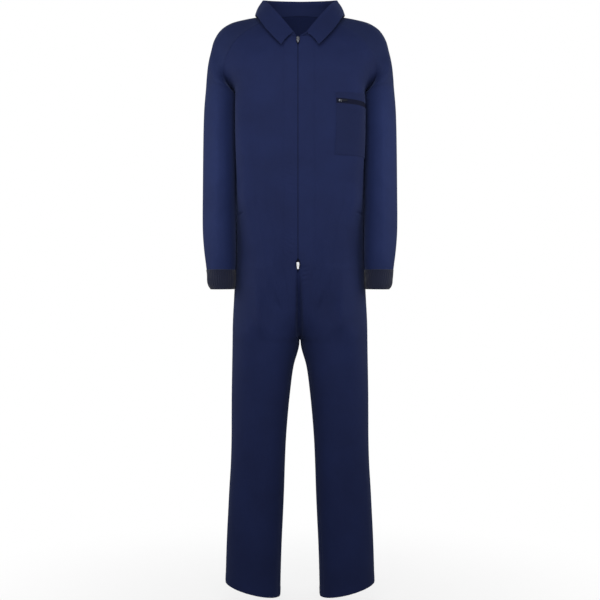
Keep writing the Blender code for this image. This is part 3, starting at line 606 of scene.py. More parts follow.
@dataclass(frozen=True)
class Fold:
    """A soft trough or ridge, drawn on the cloth from one side.

    Attributes:
        view: Where the cloth looks that it is drawn on.
        start: Its start, sideways from the middle and by height.
        end: Its end.
        bend: How far its middle lies to the side of a straight line.
        width: Half its width.
        depth: How far the cloth stands out, or lies in where negative.
    """

    view: Vector
    start: Grid
    end: Grid
    bend: float
    width: float
    depth: float

    def on(self, points: Grid, normals: Grid) -> Grid:
        """How far this fold moves each point of a grid along its normal."""
        run = self.end - self.start
        flat = points[:, :, (0, 2)] - np.array([0, -MOUNT_HEIGHT]) - self.start
        length = np.hypot(*run)
        along = flat @ run / length**2
        within = share_of(along)
        off = flat @ np.array([-run[1], run[0]]) / length - self.bend * 4 * within * (1 - within)
        away = np.hypot(off, (along - within) * length) / self.width
        facing = share_of(normals @ np.array(self.view) * FOLD_FACING)
        ends = np.sin(np.pi * within) ** FOLD_ENDS
        return FOLD_STRENGTH * self.depth * np.exp(-away * away) * ends * facing


def folds(view: Vector, *rows: tuple[float, ...]) -> tuple[Fold, ...]:
    """Folds from a table in millimetres: start x and height, end x and height, bend, width and depth."""
    table = np.array(rows) / 1000
    return tuple(Fold(view, row[:2], row[2:4], *row[4:]) for row in table)


FRONT_FOLDS = folds(
    FRONT,
    # crotch: the deep valley, the fly's hump beside it and the soft hollows on both sides
    (-3.5, 900, -2.5, 650, 1, 6, -8.5),
    (15, 985, 13, 780, -2, 15, 1.4),
    (51, 1010, 47, 690, 2, 20, -4),
    (-47, 1010, -40, 690, -2, 20, -4),
    # gathers beside the foot of the zip
    (0, 884, 26, 890, 1, 3.4, -0.9),
    (0, 872, 30, 881, 1, 3.4, -1.1),
    (0, 859, 28, 868, 1, 3.4, -1.1),
    (0, 846, 25, 854, 1, 3.4, -0.9),
    # the dart at the top of each hip pocket's mouth
    (-150, 1036, -176, 1033, 1, 3.4, -3.6),
    (150, 1036, 176, 1033, 1, 3.4, -3.6),
    # long soft valleys of the body
    (-69, 1260, -64, 930, 4, 23, -2.2),
    (63, 1240, 68, 950, -4, 22, -2),
    (-118, 1340, -88, 1050, -6, 24, -2.2),
    (108, 1190, 90, 990, 5, 23, -1.8),
    (-135, 1190, -118, 950, 6, 20, -1.6),
    (138, 1150, 123, 920, -6, 20, -1.6),
    (-150, 1375, -90, 1300, 8, 16, -1.8),
    (148, 1392, 88, 1385, 6, 18, -1.6),
    # hollows under the shoulders
    (-80, 1505, -150, 1470, 8, 20, -3),
    (82, 1502, 152, 1465, -8, 20, -3),
    # legs
    (-95, 640, -105, 260, 6, 22, -2.2),
    (98, 600, 106, 220, -6, 22, -2.2),
    (-138, 420, -130, 120, 4, 18, -1.6),
    (130, 380, 140, 90, -4, 18, -1.6),
)
BACK_FOLDS = folds(
    BACK,
    (0, 900, 0, 690, 1, 8, -4),
    (42, 860, 105, 800, -10, 18, -2.8),
    (-40, 850, -100, 780, 10, 18, -2.8),
    (50, 780, 115, 700, -8, 16, -2.2),
    (-48, 770, -110, 690, 8, 16, -2.2),
    (70, 1260, 60, 960, 6, 18, -2.4),
    (-64, 1230, -68, 940, -5, 18, -2.4),
    (125, 1300, 105, 1020, -6, 17, -2),
    (-120, 1320, -110, 1050, 6, 17, -2),
    (90, 1480, 145, 1400, 8, 20, -2.6),
    (-90, 1470, -143, 1390, -8, 20, -2.6),
    (95, 600, 102, 240, -6, 22, -2.2),
    (-98, 620, -104, 280, 6, 22, -2.2),
)


def sleeve_folds(side: Side) -> tuple[Fold, ...]:
    """The sleeve's hollow below the shoulder and its soft bends, a little different on each side."""
    way, shift = side.value, 6 * side.value
    mirror = np.array((way, 1, way, 1, way, 1, 1))
    front = (
        (204, 1490, 198, 1380, 6, 24, -2.2),
        (236, 1330 + shift, 214, 1215, 4, 15, -1.8),
        (248, 1180 - shift, 226, 1120, 3, 13, -1.6),
        (205, 1140 + shift, 232, 1075, 3, 12, -1.4),
        (246, 1010 - shift, 226, 950, 3, 12, -1.2),
    )
    back = (
        (208, 1480, 200, 1370, 6, 24, -2.2),
        (240, 1300 - shift, 214, 1200, 4, 15, -1.8),
        (206, 1150 + shift, 240, 1090, 3, 13, -1.6),
        (210, 1060 - shift, 238, 1000, 3, 12, -1.4),
    )
    return folds(FRONT, *front * mirror) + folds(BACK, *back * mirror)


@dataclass
class Sheet:
    """A piece's outer surface as a fine grid of points.

    Attributes:
        points: Points by row, from the foot up, and column.
        outward: Where the outermost point looks.
        normals: The points' outward normals, worked out where they aren't given.
        start: The points before the sheet was shaped.
    """

    points: Grid
    outward: Vector
    normals: Grid | None = None
    start: Grid | None = None

    def __post_init__(self) -> None:
        """Finds the normals."""
        if self.normals is None:
            self.settle()

    def settle(self) -> None:
        """Finds the normals anew after the points have moved."""
        self.normals = normals_on(self.points, self.outward)

    def heights(self) -> Grid:
        """Each point's height above the lowest front hem."""
        return self.points[:, :, 2] + MOUNT_HEIGHT

    def move(self, amounts: Grid, along: Grid | None = None) -> None:
        """Moves every point along its normal, or another way. What is closed stays closed."""
        closed = closed_rows(self.points)
        self.points = self.points + (self.normals if along is None else along) * amounts[:, :, None]
        self.points[closed, -1] = self.points[closed, 0]
        self.settle()

    def inward_from(self, edge: Edge) -> tuple[Grid, Grid, Grid]:
        """The sheet as lines that start at an edge: points, normals and their distances from it."""
        is_row, is_far = edge.value
        points, normals = self.points, self.normals
        if is_row:
            points, normals = points.transpose(1, 0, 2), normals.transpose(1, 0, 2)
        if is_far:
            points, normals = points[:, ::-1], normals[:, ::-1]
        return points, normals, lengths(points, 1)

    def distances(self, edge: Edge) -> Grid:
        """Each point's distance from an edge."""
        is_row, is_far = edge.value
        found = self.inward_from(edge)[2]
        found = found[:, ::-1] if is_far else found
        return found.T if is_row else found

    def near(self, edge: Edge, reach: float) -> Grid:
        """A share for each point: all at an edge, none beyond a distance from it."""
        return share_of(1 - self.distances(edge) / reach)

    def from_seams(self) -> Grid:
        """Each point's distance from the nearer of the first and the last column."""
        return np.minimum(*map(self.distances, SIDES))

    def extend(self, edge: Edge, amount: float, top: float = ANY_HEIGHT, sink: float = 0.0) -> None:
        """Grows the sheet past an edge, up to a height, to meet its neighbour or to sink under it."""
        points, normals, _ = self.inward_from(edge)
        move = unit(points[:, 0] - points[:, 1]) * amount - normals[:, 0] * sink
        move[points[:, 0, 2] + MOUNT_HEIGHT > top] = 0
        if edge in SIDES:
            move[closed_rows(self.points)] = 0
        points[:, 0] += move

    def press(self, edge: Edge, distance: float, width: float, depth: float) -> None:
        """Presses a soft groove that follows an edge."""
        away = (self.distances(edge) - distance) / width
        self.move(-depth * np.exp(-away * away))

    def thicken(self, edge: Edge, distance: float, rise: float) -> None:
        """Raises a strip along an edge, as a turned and stitched hem does."""
        self.move(rise * share_of((distance - self.distances(edge)) / HEM_STEP + 0.5))

    def lift(self, edge: Edge, reach: float, rise: float) -> None:
        """Lifts the cloth off what it lies on, most at an edge."""
        self.move(rise * self.near(edge, reach) ** LIFT_CURVE)

    def pucker(
        self, edge: Edge, distance: float, width: float, pitch: float, depth: float, top: float = ANY_HEIGHT
    ) -> None:
        """Ripples the cloth along a row of stitches, unevenly, and less and less up to a height."""
        away = (self.distances(edge) - distance) / width
        along = lengths(self.points) if edge in SIDES else self.distances(Edge.FIRST)
        phase = along / pitch + PUCKER_DRIFT * np.sin(along / (pitch * DRIFT_SPAN)) + PUCKER_SLANT * away
        strength = PUCKER_LEAST + PUCKER_SWELL * np.sin(along / (pitch * SWELL_SPAN) + SWELL_START)
        strength = strength * share_of((top - self.heights()) / PUCKER_FADE)
        self.move(depth * strength * np.sin(2 * np.pi * phase) * np.exp(-away * away))

    def square_off(self, x_way: int, y_way: int, amount: float, low: float, high: float, ease: float) -> None:
        """Fills the corner between two directions, so that the cloth stays flatter before it turns away.

        Args:
            x_way: The sideways direction's sign.
            y_way: The sign of the direction in which the cloth moves.
            amount: The most that it moves.
            low: The height where this starts.
            high: The height where it ends.
            ease: The height in which it sets in.
        """
        sideways, onward = share_of(self.normals[:, :, 0] * x_way), share_of(self.normals[:, :, 1] * y_way)
        heights = self.heights()
        window = eased(share_of((heights - low) / ease) * share_of((high - heights) / SQUARE_EASE))
        seam = share_of(self.from_seams() / (2 * SEAM_CALM))
        seam[closed_rows(self.points)] = 1
        self.points[:, :, 1] += y_way * amount * (2 * sideways * onward) ** SQUARE_TURN * window * seam
        self.settle()

    def lie_on(self, under: list[Sheet]) -> None:
        """Moves the sheet along with the cloth that it is sewn on."""
        before = np.concatenate([sheet.start.reshape(-1, 3) for sheet in under])
        moved = np.concatenate([(sheet.points - sheet.start).reshape(-1, 3) for sheet in under])
        tree = KDTree(len(before))
        for index, point in enumerate(before):
            tree.insert(point, index)
        tree.balance()
        for point in self.points.reshape(-1, 3):
            near = tree.find_n(point, NEIGHBOURS)
            weights = np.array([1 / (distance + NEIGHBOUR_BLUR) ** 2 for _, _, distance in near])
            point += weights @ moved[[index for _, index, _ in near]] / weights.sum()
        self.settle()

    def relax(self, low: float, high: float, times: int = 40, ease: float = 0.03) -> None:
        """Evens out creases of the coarse form between two heights, away from the edges."""
        heights = self.heights()
        window = share_of((heights - low) / ease) * share_of((high - heights) / ease)
        share = (window * share_of(self.from_seams() / ease))[1:-1, 1:-1, None] / 2
        p = self.points
        for _ in range(times):
            around = (p[:-2, 1:-1] + p[2:, 1:-1] + p[1:-1, :-2] + p[1:-1, 2:]) / 4
            p[1:-1, 1:-1] += (around - p[1:-1, 1:-1]) * share
        self.settle()

    def line(self, edge: Edge, distance: float) -> Line:
        """Points and normals all along the sheet, at an even distance from an edge."""
        points, normals, found = self.inward_from(edge)
        middles = [sampled(distance, keys, line) for keys, line in zip(found, points)]
        outwards = [sampled(distance, keys, line) for keys, line in zip(found, normals)]
        return np.array(middles), np.array(outwards)

    def path(self, edge: Edge, *stops: Pair) -> Line:
        """A line on the sheet through stops, each a height and a distance from an edge."""
        found = []
        for height, distance in stops:
            points, normals = self.line(edge, distance)
            order = np.argsort(points[:, 2])
            levels = points[order, 2] + MOUNT_HEIGHT
            found.append([sampled(height, levels, values[order]) for values in (points, normals)])
        points, normals = zip(*found)
        return np.array(points), np.array(normals)

    def mesh(self, name: str, thickness: float) -> bpy.types.Mesh:
        """Makes the closed wall, inwards from the sheet, with the cloth's own grain as its UV map."""
        rows, columns = self.points.shape[:2]
        count = rows * columns
        i = np.arange(count).reshape(rows, columns)
        closed = closed_rows(self.points)
        merged = np.arange(2 * count)
        for side in (0, count):
            merged[i[closed, -1] + side] = i[closed, 0] + side
        front = np.stack([i[:-1, :-1], i[:-1, 1:], i[1:, 1:], i[1:, :-1]], axis=2).reshape(-1, 4)
        quads = [front, front[:, ::-1] + count]
        borders = [i[0], i[-1][::-1]]
        open_rows = np.flatnonzero(~closed)
        if len(open_rows) > 1:
            edge = slice(max(open_rows[0] - 1, 0), open_rows[-1] + 1)
            borders += [i[edge, 0][::-1], i[edge, -1]]
        for border in borders:
            behind = border + count
            quads.append(np.stack([border[1:], border[:-1], behind[:-1], behind[1:]], axis=1))
        loose = np.concatenate(quads)
        layers = (self.points, self.points - self.normals * thickness)
        points = np.concatenate([layer.reshape(-1, 3) for layer in layers])
        grain = np.stack([lengths(self.points, 1), lengths(self.points)], axis=2).reshape(-1, 2)
        mesh = bpy.data.meshes.new(name)
        mesh.from_pydata(points.tolist(), [], merged[loose].tolist())
        mesh.uv_layers.new(name="grain").data.foreach_set("uv", grain[loose.reshape(-1) % count].ravel())
        bm = bmesh.new()
        bm.from_mesh(mesh)
        bmesh.ops.delete(bm, geom=[v for v in bm.verts if not v.link_faces], context="VERTS")
        if bm.calc_volume(signed=True) < 0:
            bmesh.ops.reverse_faces(bm, faces=bm.faces)
        bm.to_mesh(mesh)
        bm.free()
        return mesh


@dataclass(frozen=True)
class Cut:
    """How a piece was cut flat: its width, its length, and its area where it isn't a rectangle."""

    width: float
    length: float
    area: float | None = None


@dataclass
class ClothPiece:
    """One cut piece of cloth, made on the outer face of its own CAD node.

    Attributes:
        node: The CAD node that it stands for.
        outward: Where its outermost face looks.
        pitch: Distance between its points, up and across.
        thickness: Its wall.
        cut: Its flat cut.
        finish: Its material and slot.
        folds: The folds that cross it.
        corners: Where it is squared off before it is folded.
        held: How the cloth is held, which is not used.
        limits: What ends the node's outer side.
        sheet: Its shaped outer face.
    """

    node: str
    outward: Vector
    pitch: Pair
    thickness: float
    cut: Cut
    finish: Finish
    folds: tuple[Fold, ...] = ()
    corners: tuple[tuple[float, ...], ...] = ()
    held: str = "hung"
    limits: Pair = BROAD_CELLS
    sheet: Sheet | None = None

    def shape(self) -> None:
        """Refines the node's outer face, squares it off and folds it."""
        rough = WallReader(self.node, self.outward, self.limits).grid()
        grid = refined(rough, *self.pitch, self.pitch is BODY_PITCH)
        self.sheet = Sheet(grid, self.outward, start=grid.copy())
        for corner in self.corners:
            self.sheet.square_off(*corner)
        if self.folds:
            self.fold()

    def fold(self) -> None:
        """Presses the folds in. They die out at the seams, and at the body's middle they stay upright."""
        sheet = self.sheet
        amounts = sum(fold.on(sheet.points, sheet.normals) for fold in self.folds)
        sleeve = abs(self.outward.x) > 0.5
        for edge in (Edge.LAST, Edge.HEAD, Edge.FIRST, Edge.FOOT) if sleeve else (Edge.LAST, Edge.HEAD):
            amounts = amounts * share_of(sheet.distances(edge) / SEAM_CALM)
        upright = 0 if sleeve else sheet.near(Edge.FIRST, SEAM_CALM)[:, :, None]
        sheet.move(amounts, sheet.normals * (1 - upright) + np.array(self.outward) * upright)

    def build(self, material: Material) -> None:
        """Makes the piece and puts it on the suit."""
        name = f"{self.node}_cloth"
        mesh = self.sheet.mesh(name, self.thickness)
        mesh.materials.append(material)
        mesh.shade_smooth()
        mesh.set_sharp_from_angle(angle=SHARP_TURN)
        piece = new_object(name, mesh)
        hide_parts(self.node)
        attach(piece, "suit")
        LOG.info("%s: %d faces", name, len(mesh.polygons))


# ---------------- zip and sewing


@dataclass(frozen=True)
class Closure:
    """How the front edges meet over the zip.

    Attributes:
        half_gap: From the middle of the zip to either edge.
        widest: The most that an edge moves.
        reach: How far from the edge the cloth moves.
        slider_room: Half the height of the opening that a slider keeps.
        ease: The height in which the edges part to that opening.
        fork: Where the legs part.
    """

    half_gap: float = 0.0008
    widest: float = 0.0056
    reach: float = 0.014
    slider_room: float = 0.0088
    ease: float = 0.008
    fork: float = 0.684

    def draw_together(self, sheet: Sheet, side: Side) -> None:
        """Moves the front edge towards the middle of the zip."""
        heights = sheet.heights()[:, 0]
        room = np.minimum(abs(heights - LOWER_SLIDER), abs(heights - UPPER_SLIDER)) - self.slider_room
        share = eased(np.minimum(room / self.ease, (heights - self.fork) / self.reach))
        shift = CLOSURE + side.value * self.half_gap - sheet.points[:, 0, 0]
        shift = np.where(shift * side.value > 0, 0, np.clip(shift, -self.widest, self.widest)) * share
        sheet.points[:, :, 0] += shift[:, None] * eased(sheet.near(Edge.FIRST, self.reach))
        sheet.settle()


@dataclass(frozen=True)
class Zip:
    """The front zip's two tapes and its rows of small teeth.

    Attributes:
        cut: A tape's flat cut.
        gap: Between a tape and the front's inner face.
        half_slit: From the middle of the zip to either tape.
        tooth_pitch: Distance between two teeth of one tape.
        tooth: A tooth's half width, half height and half thickness.
    """

    cut: Cut = Cut(0.015, 0.63)
    gap: float = 0.0007
    half_slit: float = 0.0002
    tooth_pitch: float = 0.0026
    tooth: Triple = (0.0014, 0.0006, 0.0009)

    def tape(self, front: Sheet, side: Side, finish: Finish) -> ClothPiece:
        """Lays a tape behind a front's edge, from the middle of the zip."""
        heights = front.heights()[:, 0]
        rows = np.flatnonzero((heights >= ZIP_FOOT) & (heights <= ZIP_HEAD))
        strip = Sheet(front.points[rows], FRONT, front.normals[rows])
        columns = [strip.line(Edge.FIRST, distance) for distance in np.linspace(0, self.cut.width, 8)]
        points, normals = (np.stack([column[k] for column in columns], axis=1) for k in range(2))
        points[:, 0, 0] = CLOSURE + side.value * self.half_slit
        sheet = Sheet(points - normals * (CLOTH + self.gap), FRONT, normals)
        node = f"zip_tape_{side.word}"
        return ClothPiece(node, FRONT, BODY_PITCH, TAPE_WALL, self.cut, finish, sheet=sheet)

    def teeth(self, tape: Sheet, side: Side) -> Runs:
        """Where one tape's teeth sit: their middles, the way up and the way out."""
        start = self.tooth_pitch / 2 if side is Side.LEFT else 0.0
        return evenly(tape.points[:, 0], tape.normals[:, 0], self.tooth_pitch, start)


def evenly(line: Grid, normals: Grid, pitch: float, start: float = 0.0) -> Runs:
    """Places at an even pitch along a line, and the unit directions along it and out of it."""
    keys = lengths(line)
    wanted = np.arange(start, keys[-1], pitch)
    along = sampled(wanted + pitch / 4, keys, line) - sampled(wanted - pitch / 4, keys, line)
    return sampled(wanted, keys, line), unit(along), unit(sampled(wanted, keys, normals))


@dataclass(frozen=True)
class Solid:
    """A small shape, repeated many times. Its points are across, along and out."""

    points: list[tuple[float, ...]]
    faces: list[tuple[int, ...]]

    def scatter(self, name: str, runs: list[Runs], size: Triple, finish: Finish) -> None:
        """Makes one piece of many of these shapes, each scaled by the size across, along and out."""
        middle, along, out = (np.concatenate([run[k] for run in runs]) for k in range(3))
        shape = np.array(self.points) * np.array(size)
        axes = (np.cross(along, out), along, out)
        placed = sum(shape[None, :, k : k + 1] * axis[:, None, :] for k, axis in enumerate(axes))
        placed = (placed + middle[:, None, :]).reshape(-1, 3)
        starts = range(0, len(placed), len(self.points))
        faces = [tuple(i + start for i in face) for start in starts for face in self.faces]
        mesh = bpy.data.meshes.new(name)
        mesh.from_pydata(placed.tolist(), [], faces)
        mesh.materials.append(bpy.data.materials.get(finish.name) or finish.material())
        piece = new_object(name, mesh)
        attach(piece, "suit")
        LOG.info("%s: %d pieces", name, len(middle))


TOOTH = Solid(
    [(x, y, z) for z in (-1, 1) for x, y in ((-1, -1), (1, -1), (1, 1), (-1, 1))],
    [(3, 2, 1, 0), (4, 5, 6, 7), (0, 1, 5, 4), (1, 2, 6, 5), (2, 3, 7, 6), (3, 0, 4, 7)],
)
STITCH = Solid(
    [(0, -1, 0), *((x, y, z) for y in (-0.45, 0.45) for x, z in ((-1, -0.2), (0, 1), (1, -0.2))), (0, 1, 0)],
    [(0, 2, 1), (0, 3, 2), (0, 1, 3)]
    + [(1, 2, 5, 4), (2, 3, 6, 5), (3, 1, 4, 6)]
    + [(7, 4, 5), (7, 5, 6), (7, 6, 4)],
)


@dataclass
class Sewing:
    """Rows of topstitching, one small raised stitch after another.

    Attributes:
        pitch: From one stitch to the next.
        size: A stitch's half width, half length and height.
        runs: Where the stitches lie.
    """

    pitch: float = 0.0033
    size: Triple = (0.00032, 0.00125, 0.00030)
    runs: list[Runs] = field(default_factory=list)

    def sew(self, line: Line, low: float = -ANY_HEIGHT, high: float = ANY_HEIGHT) -> None:
        """Adds a row of stitches on the part of a line that lies between two heights."""
        points, normals = line
        heights = points[:, 2] + MOUNT_HEIGHT
        kept = (heights >= low) & (heights <= high)
        if kept.sum() > 2:
            self.runs.append(evenly(points[kept], normals[kept], self.pitch, self.pitch / 2))

    def tack(self, line: Line) -> None:
        """Adds a dense short row of stitches that holds a corner."""
        self.runs.append(evenly(*line, self.pitch / 2))


# ---------------- studio


@dataclass(frozen=True)
class Studio:
    """Pale floor, soft lights and the camera.

    Attributes:
        distance: From the camera to the middle of the suit.
        eye_height: The camera's height.
        frame_width: What the picture spans there.
        sensor: The camera's sensor width in millimetres.
        floor_height: The floor's height, just under the hems.
        floor_radius: Where the floor has faded away.
        surround_light: How strongly the background lights the suit.
        light_aim: The height that the lights look at.
    """

    distance: float = 3.0
    eye_height: float = 0.801
    frame_width: float = 1.671
    sensor: float = 36.0
    floor_height: float = -0.045
    floor_radius: float = 1.2
    surround_light: float = 0.12
    light_aim: float = 1.40

    def build(self) -> None:
        """Sets up the camera, floor, lights and background."""
        data = bpy.data.cameras.new("camera")
        data.sensor_width = self.sensor
        data.lens = self.sensor * self.distance / self.frame_width
        camera = new_object("camera", data)
        camera.location = (0, -self.distance, level(self.eye_height))
        camera.rotation_euler = (math.radians(90), 0, 0)
        bpy.context.scene.camera = camera
        self.floor()
        for side in Side:
            self.light(f"{side.word}_side", (side.value * 1.35, -0.85, 1.12), 0.9, 2.6)
            self.light(f"{side.word}_rim", (side.value * 1.30, -0.20, 1.20), 0.8, 4.8)
        self.light("front", (-0.1, -1.55, 1.75), 1.0, 13.8)
        self.light("fill", (0.2, -1.90, 0.90), 1.0, 4.6)
        self.light("back", (0.0, 1.9, 1.6), 1.4, 20)
        self.surround()
        bpy.context.scene.view_settings.view_transform = "Standard"

    def surround(self) -> None:
        """Sets a white background that lights the suit only gently."""
        world = bpy.data.worlds.new("studio")
        world.use_nodes = True
        nodes, links = world.node_tree.nodes, world.node_tree.links
        strength, ground = nodes.new("ShaderNodeMapRange").inputs, nodes["Background"].inputs
        ground["Color"].default_value = (1, 1, 1, 1)
        strength["To Min"].default_value = self.surround_light
        links.new(nodes.new("ShaderNodeLightPath").outputs["Is Camera Ray"], strength["Value"])
        links.new(nodes["Map Range"].outputs["Result"], ground["Strength"])
        bpy.context.scene.world = world

    def floor(self) -> None:
        """Lays a wide pale floor under the suit, which fades into the background."""
        where = (0, 0, level(self.floor_height))
        bpy.ops.mesh.primitive_circle_add(
            vertices=96, radius=self.floor_radius, fill_type="NGON", location=where
        )
        floor = bpy.context.object
        floor.name = "floor"
        graph = NodeGraph("pale_floor")
        distance = graph.add("VectorMath", operation="LENGTH", Vector=graph.place).outputs["Value"]
        fade = graph.add("MapRange", interpolation_type="SMOOTHSTEP", Value=distance, From_Min=0.1)
        graph.set(fade, From_Max=self.floor_radius, To_Min=0.2, To_Max=0.0)
        pale = graph.dye((0.92, 0.92, 0.92, 1), Roughness=0.9, Alpha=fade.outputs["Result"])
        floor.data.materials.append(pale)

    def light(self, name: str, where: Triple, size: float, power: float) -> None:
        """Adds a square soft light in its place, sideways, in depth and by height, that looks at the suit."""
        data = bpy.data.lights.new(name, "AREA")
        data.size, data.energy = size, power
        light = new_object(name, data)
        light.location = (*where[:2], level(where[2]))
        light.visible_camera = False
        aim = Vector((0, 0, level(self.light_aim))) - light.location
        light.rotation_euler = aim.to_track_quat("-Z", "Y").to_euler()


# ---------------- the suit

BRIGHT = CastMetal("bright_cast_metal", "silver_metal", (0.78, 0.79, 0.82), 0.22)
PLATED = CastMetal("dark_plated_metal", "dark_metal", (0.26, 0.27, 0.31), 0.25)
DULL = CastMetal("dull_cast_metal", "silver_metal", (0.03, 0.032, 0.042), 0.5)
BLACKENED = CastMetal("blackened_teeth", "dark_metal", (0.012, 0.014, 0.024), 0.55)
HARDWARE = {
    BRIGHT: ("zip_slider_lower", "zip_pull_lower"),
    PLATED: ("zip_slider_upper", "zip_pull_upper", "chest_zip_slider"),
    DULL: ("chest_zip_pull",),
}


def dress_hardware() -> None:
    """Puts each metal on its sliders and pulls, which keep their CAD shape."""
    for metal, nodes in HARDWARE.items():
        material = metal.material()
        for thing in (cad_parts[node] for node in nodes):
            if not thing.material_slots:
                thing.data.materials.append(material)
            for slot in thing.material_slots:
                slot.material = material


def cloth_pieces(twill: Twill, tape: WovenTape) -> list[ClothPiece]:
    """Every cut piece of the suit but the front zip's tapes, with its pitch, wall and flat cut."""
    # painted shade: the chest pocket and its band are a darker copy of the body's twill
    pocket_twill_painted_shade = Twill("navy_twill_pocket", light=(0.0086, 0.0165, 0.0740), dark=(0.0060, 0.0115, 0.0540))
    # painted light: the sleeves' twill is lighter than the body's, and a painted shade darkens it towards the
    # shoulders
    pale = {"light": (0.0159, 0.0292, 0.1170), "dark": (0.0110, 0.0203, 0.0860)}
    sleeve_twill_painted_light, rib = Twill("navy_twill_sleeves", deepens=(1.28, 1.52), **pale), RibKnit()
    collar_cut, narrow = Cut(0.50, 0.15), {"limits": NARROW_CELLS}
    fine = (0.002, 0.002)
    pieces = [
        ClothPiece("chest_pocket", FRONT, (0.003, 0.002), POCKET_WALL, Cut(0.115, 0.14), pocket_twill_painted_shade),
        ClothPiece("chest_pocket_band", FRONT, fine, POCKET_WALL, Cut(0.115, 0.028), pocket_twill_painted_shade),
        ClothPiece("chest_zip_tape", FRONT, fine, TAPE_WALL, Cut(0.115, 0.013), tape),
        ClothPiece("collar", UP, (0.003, 0.002), COLLAR_WALL, collar_cut, twill, held="folded", **narrow),
    ]
    for side in Side:
        way, word = side.value, side.word
        across = Vector((way, 0, 0))
        body = (BODY_PITCH, CLOTH)
        front, back, sleeve = Cut(0.32, 1.56, 0.38), Cut(0.32, 1.60, 0.38), Cut(0.45, 0.80, 0.26)
        front_corners = ((way, -1, 0.012, 0.52, 1.34, 0.3), (way, -1, 0.012, 0.48, 1.12, 0.34))
        back_corners = ((way, 1, 0.006, 0.60, 1.34, 0.2),)
        ends = ((-1, 0.012, 0.88, 1.37), (-1, 0.010, 0.88, 1.24), (1, 0.006, 0.88, 1.37))
        sleeve_corners = tuple((-way, *end, SQUARE_EASE) for end in ends)
        sleeve_shape = (sleeve, sleeve_twill_painted_light, sleeve_folds(side), sleeve_corners)
        pieces += [
            ClothPiece(f"front_{word}", FRONT, *body, front, twill, FRONT_FOLDS, front_corners),
            ClothPiece(f"back_{word}", BACK, *body, back, twill, BACK_FOLDS, back_corners),
            ClothPiece(f"sleeve_{word}", across, (0.005, 0.003), CLOTH, *sleeve_shape),
            ClothPiece(f"cuff_{word}", across, (0.003, 0.0012), CLOTH, Cut(0.20, 0.06), rib, **narrow),
            ClothPiece(f"hip_pocket_{word}", across, (0.004, 0.002), POCKET_WALL, Cut(0.042, 0.15), twill),
        ]
    return pieces


# grooves: distance from the edge, width and depth
SEAM_GROOVE = (0.0, 0.0045, 0.0003)
BACK_SEAM_GROOVE = (0.0, 0.0035, 0.0008)
FRONT_EDGE_GROOVE = (0.0, 0.007, 0.0016)
PLACKET_GROOVE = {side: (PLACKET[side], 0.0024, 0.0008) for side in Side}

# puckers: distance from the edge, width, pitch and depth, and the height where they have died out
SEAM_PUCKER = (SEAM_STITCH, 0.005, 0.017, 0.00016)
HEM_PUCKER = (HEM, 0.006, 0.016, 0.00022)
SLEEVE_END_PUCKER = (0.006, 0.010, 0.011, 0.00035)
PLACKET_PUCKER = {side: (PLACKET[side] - 0.006, 0.009, 0.012, 0.00030) for side in Side}
ZIP_PUCKER = {side: (0.018, 0.013, 0.012, depth, 1.34) for side, depth in zip(Side, (0.0003, 0.0005))}

# hems and tucks
HEM_RISE, COLLAR_REACH, COLLAR_RISE = 0.0005, 0.045, 0.003
FLY_LAP = 0.008  # how far below the zip's foot the fronts stay apart
TUCK, TUCK_SINK = 0.005, 0.0016  # how far a sleeve's edges run on under the body's at the underarm

# stitches: the heights of a row, and the stops of a short row by height and distance from the edge
PLACKET_ROW = (0.872, 1.50)
ARMHOLE_FOOT = 1.395
MOUTH_ENDS = (
    ((1.036, 0.050), (1.034, 0.042), (1.033, 0.034)),
    ((0.880, 0.050), (0.879, 0.042), (0.879, 0.034)),
)
FLY_TACK = ((0.0, 0.008), (0.004, 0.016), (0.007, 0.024))
FLY_TACK_HEIGHTS = {Side.LEFT: (0.884, 0.873, 0.861, 0.848), Side.RIGHT: ()}


def of_side(sheets: dict[str, Sheet], side: Side, *names: str) -> list[Sheet]:
    """One side's sheets by name."""
    return [sheets[f"{name}_{side.word}"] for name in names]


def tailor(side: Side, front: Sheet, back: Sheet, sleeve: Sheet, cuff: Sheet) -> None:
    """Evens, joins and presses one side's panels: seams, placket, hems and puckers."""
    for panel in (front, back):
        panel.relax(*SHOULDER_CREASES)
    front.extend(Edge.FIRST, JOIN, top=ZIP_FOOT - FLY_LAP)
    back.extend(Edge.FIRST, JOIN)
    for panel in (front, back):
        panel.extend(Edge.LAST, JOIN)
        panel.press(Edge.LAST, *SEAM_GROOVE)
        panel.pucker(Edge.LAST, *SEAM_PUCKER)
        panel.thicken(Edge.FOOT, HEM, HEM_RISE)
        panel.pucker(Edge.FOOT, *HEM_PUCKER)
    back.press(Edge.FIRST, *BACK_SEAM_GROOVE)
    front.press(Edge.FIRST, *PLACKET_GROOVE[side])
    front.pucker(Edge.FIRST, *PLACKET_PUCKER[side])
    front.pucker(Edge.FIRST, *ZIP_PUCKER[side])
    front.press(Edge.FIRST, *FRONT_EDGE_GROOVE)
    for edge in (*SIDES, Edge.FOOT):
        sleeve.extend(edge, JOIN)
    for edge in SIDES:
        sleeve.press(edge, *SEAM_GROOVE)
        sleeve.extend(edge, TUCK, top=UNDERARM, sink=TUCK_SINK)
    sleeve.pucker(Edge.FOOT, *SLEEVE_END_PUCKER)
    cuff.extend(Edge.HEAD, JOIN)


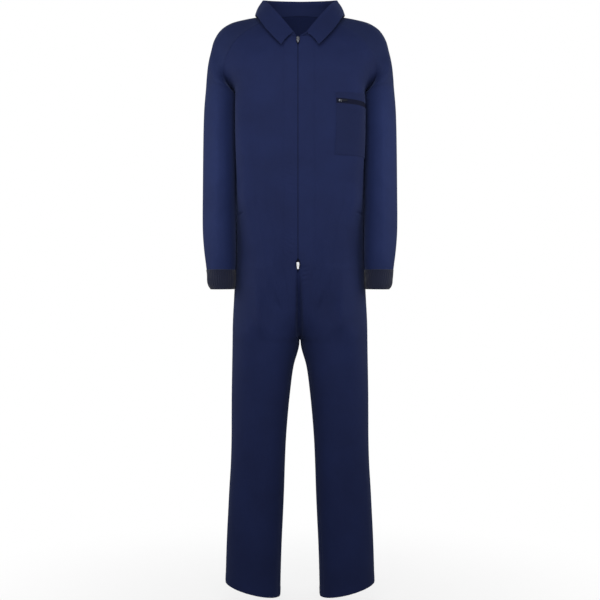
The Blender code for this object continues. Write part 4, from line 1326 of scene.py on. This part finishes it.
def sew_suit(sewing: Sewing, sheets: dict[str, Sheet]) -> None:
    """Runs the topstitching along the placket, armholes, hems, cuffs, collar and pockets."""
    for side in Side:
        front, back, sleeve = of_side(sheets, side, "front", "back", "sleeve")
        sewing.sew(front.line(Edge.FIRST, PLACKET[side] - PLACKET_STITCH), *PLACKET_ROW)
        for panel in (front, back):
            sewing.sew(panel.line(Edge.LAST, SEAM_STITCH), ARMHOLE_FOOT)
            sewing.sew(panel.line(Edge.FOOT, HEM))
        sewing.sew(sleeve.line(Edge.FOOT, SEAM_STITCH))
        for stops in MOUTH_ENDS:
            sewing.tack(front.path(Edge.LAST, *stops))
        for height in FLY_TACK_HEIGHTS[side]:
            stops = ((height + rise, distance) for rise, distance in FLY_TACK)
            sewing.tack(front.path(Edge.FIRST, *stops))
    rim = (Edge.FOOT, *SIDES)
    hems = {"collar": (rim, SEAM_STITCH), "chest_pocket": (rim, POCKET_STITCH)}
    hems["chest_pocket_band"] = ((Edge.FOOT, Edge.HEAD), POCKET_STITCH)
    for node, (edges, distance) in hems.items():
        for edge in edges:
            sewing.sew(sheets[node].line(edge, distance))


def main() -> None:
    """Builds the suit piece by piece, then the studio."""
    logging.basicConfig(level=logging.INFO, format="%(name)s: %(message)s")
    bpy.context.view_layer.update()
    twill, tape = Twill(), WovenTape()
    pieces = {piece.node: piece for piece in cloth_pieces(twill, tape)}
    for piece in pieces.values():
        piece.shape()
    sheets = {node: piece.sheet for node, piece in pieces.items()}
    zipper, closure, teeth = Zip(), Closure(), []
    for side in Side:
        front, back, sleeve, cuff = of_side(sheets, side, "front", "back", "sleeve", "cuff")
        closure.draw_together(front, side)
        tailor(side, front, back, sleeve, cuff)
        strip = zipper.tape(front, side, tape)
        pieces[strip.node] = strip
        teeth.append(zipper.teeth(strip.sheet, side))
        sheets[f"hip_pocket_{side.word}"].lie_on([front, back])
    sheets["collar"].lift(Edge.FOOT, COLLAR_REACH, COLLAR_RISE)
    for node in ("chest_pocket", "chest_pocket_band", "chest_zip_tape"):
        sheets[node].lie_on([sheets["front_left"]])
    finishes = dict.fromkeys(piece.finish for piece in pieces.values())
    materials = {finish: finish.material() for finish in finishes}
    for piece in pieces.values():
        piece.build(materials[piece.finish])
    sewing = Sewing()
    sew_suit(sewing, sheets)
    STITCH.scatter("topstitching", sewing.runs, sewing.size, twill)
    TOOTH.scatter("zip_teeth", teeth, zipper.tooth, BLACKENED)
    dress_hardware()
    Studio().build()


if __name__ == "__main__":
    main()
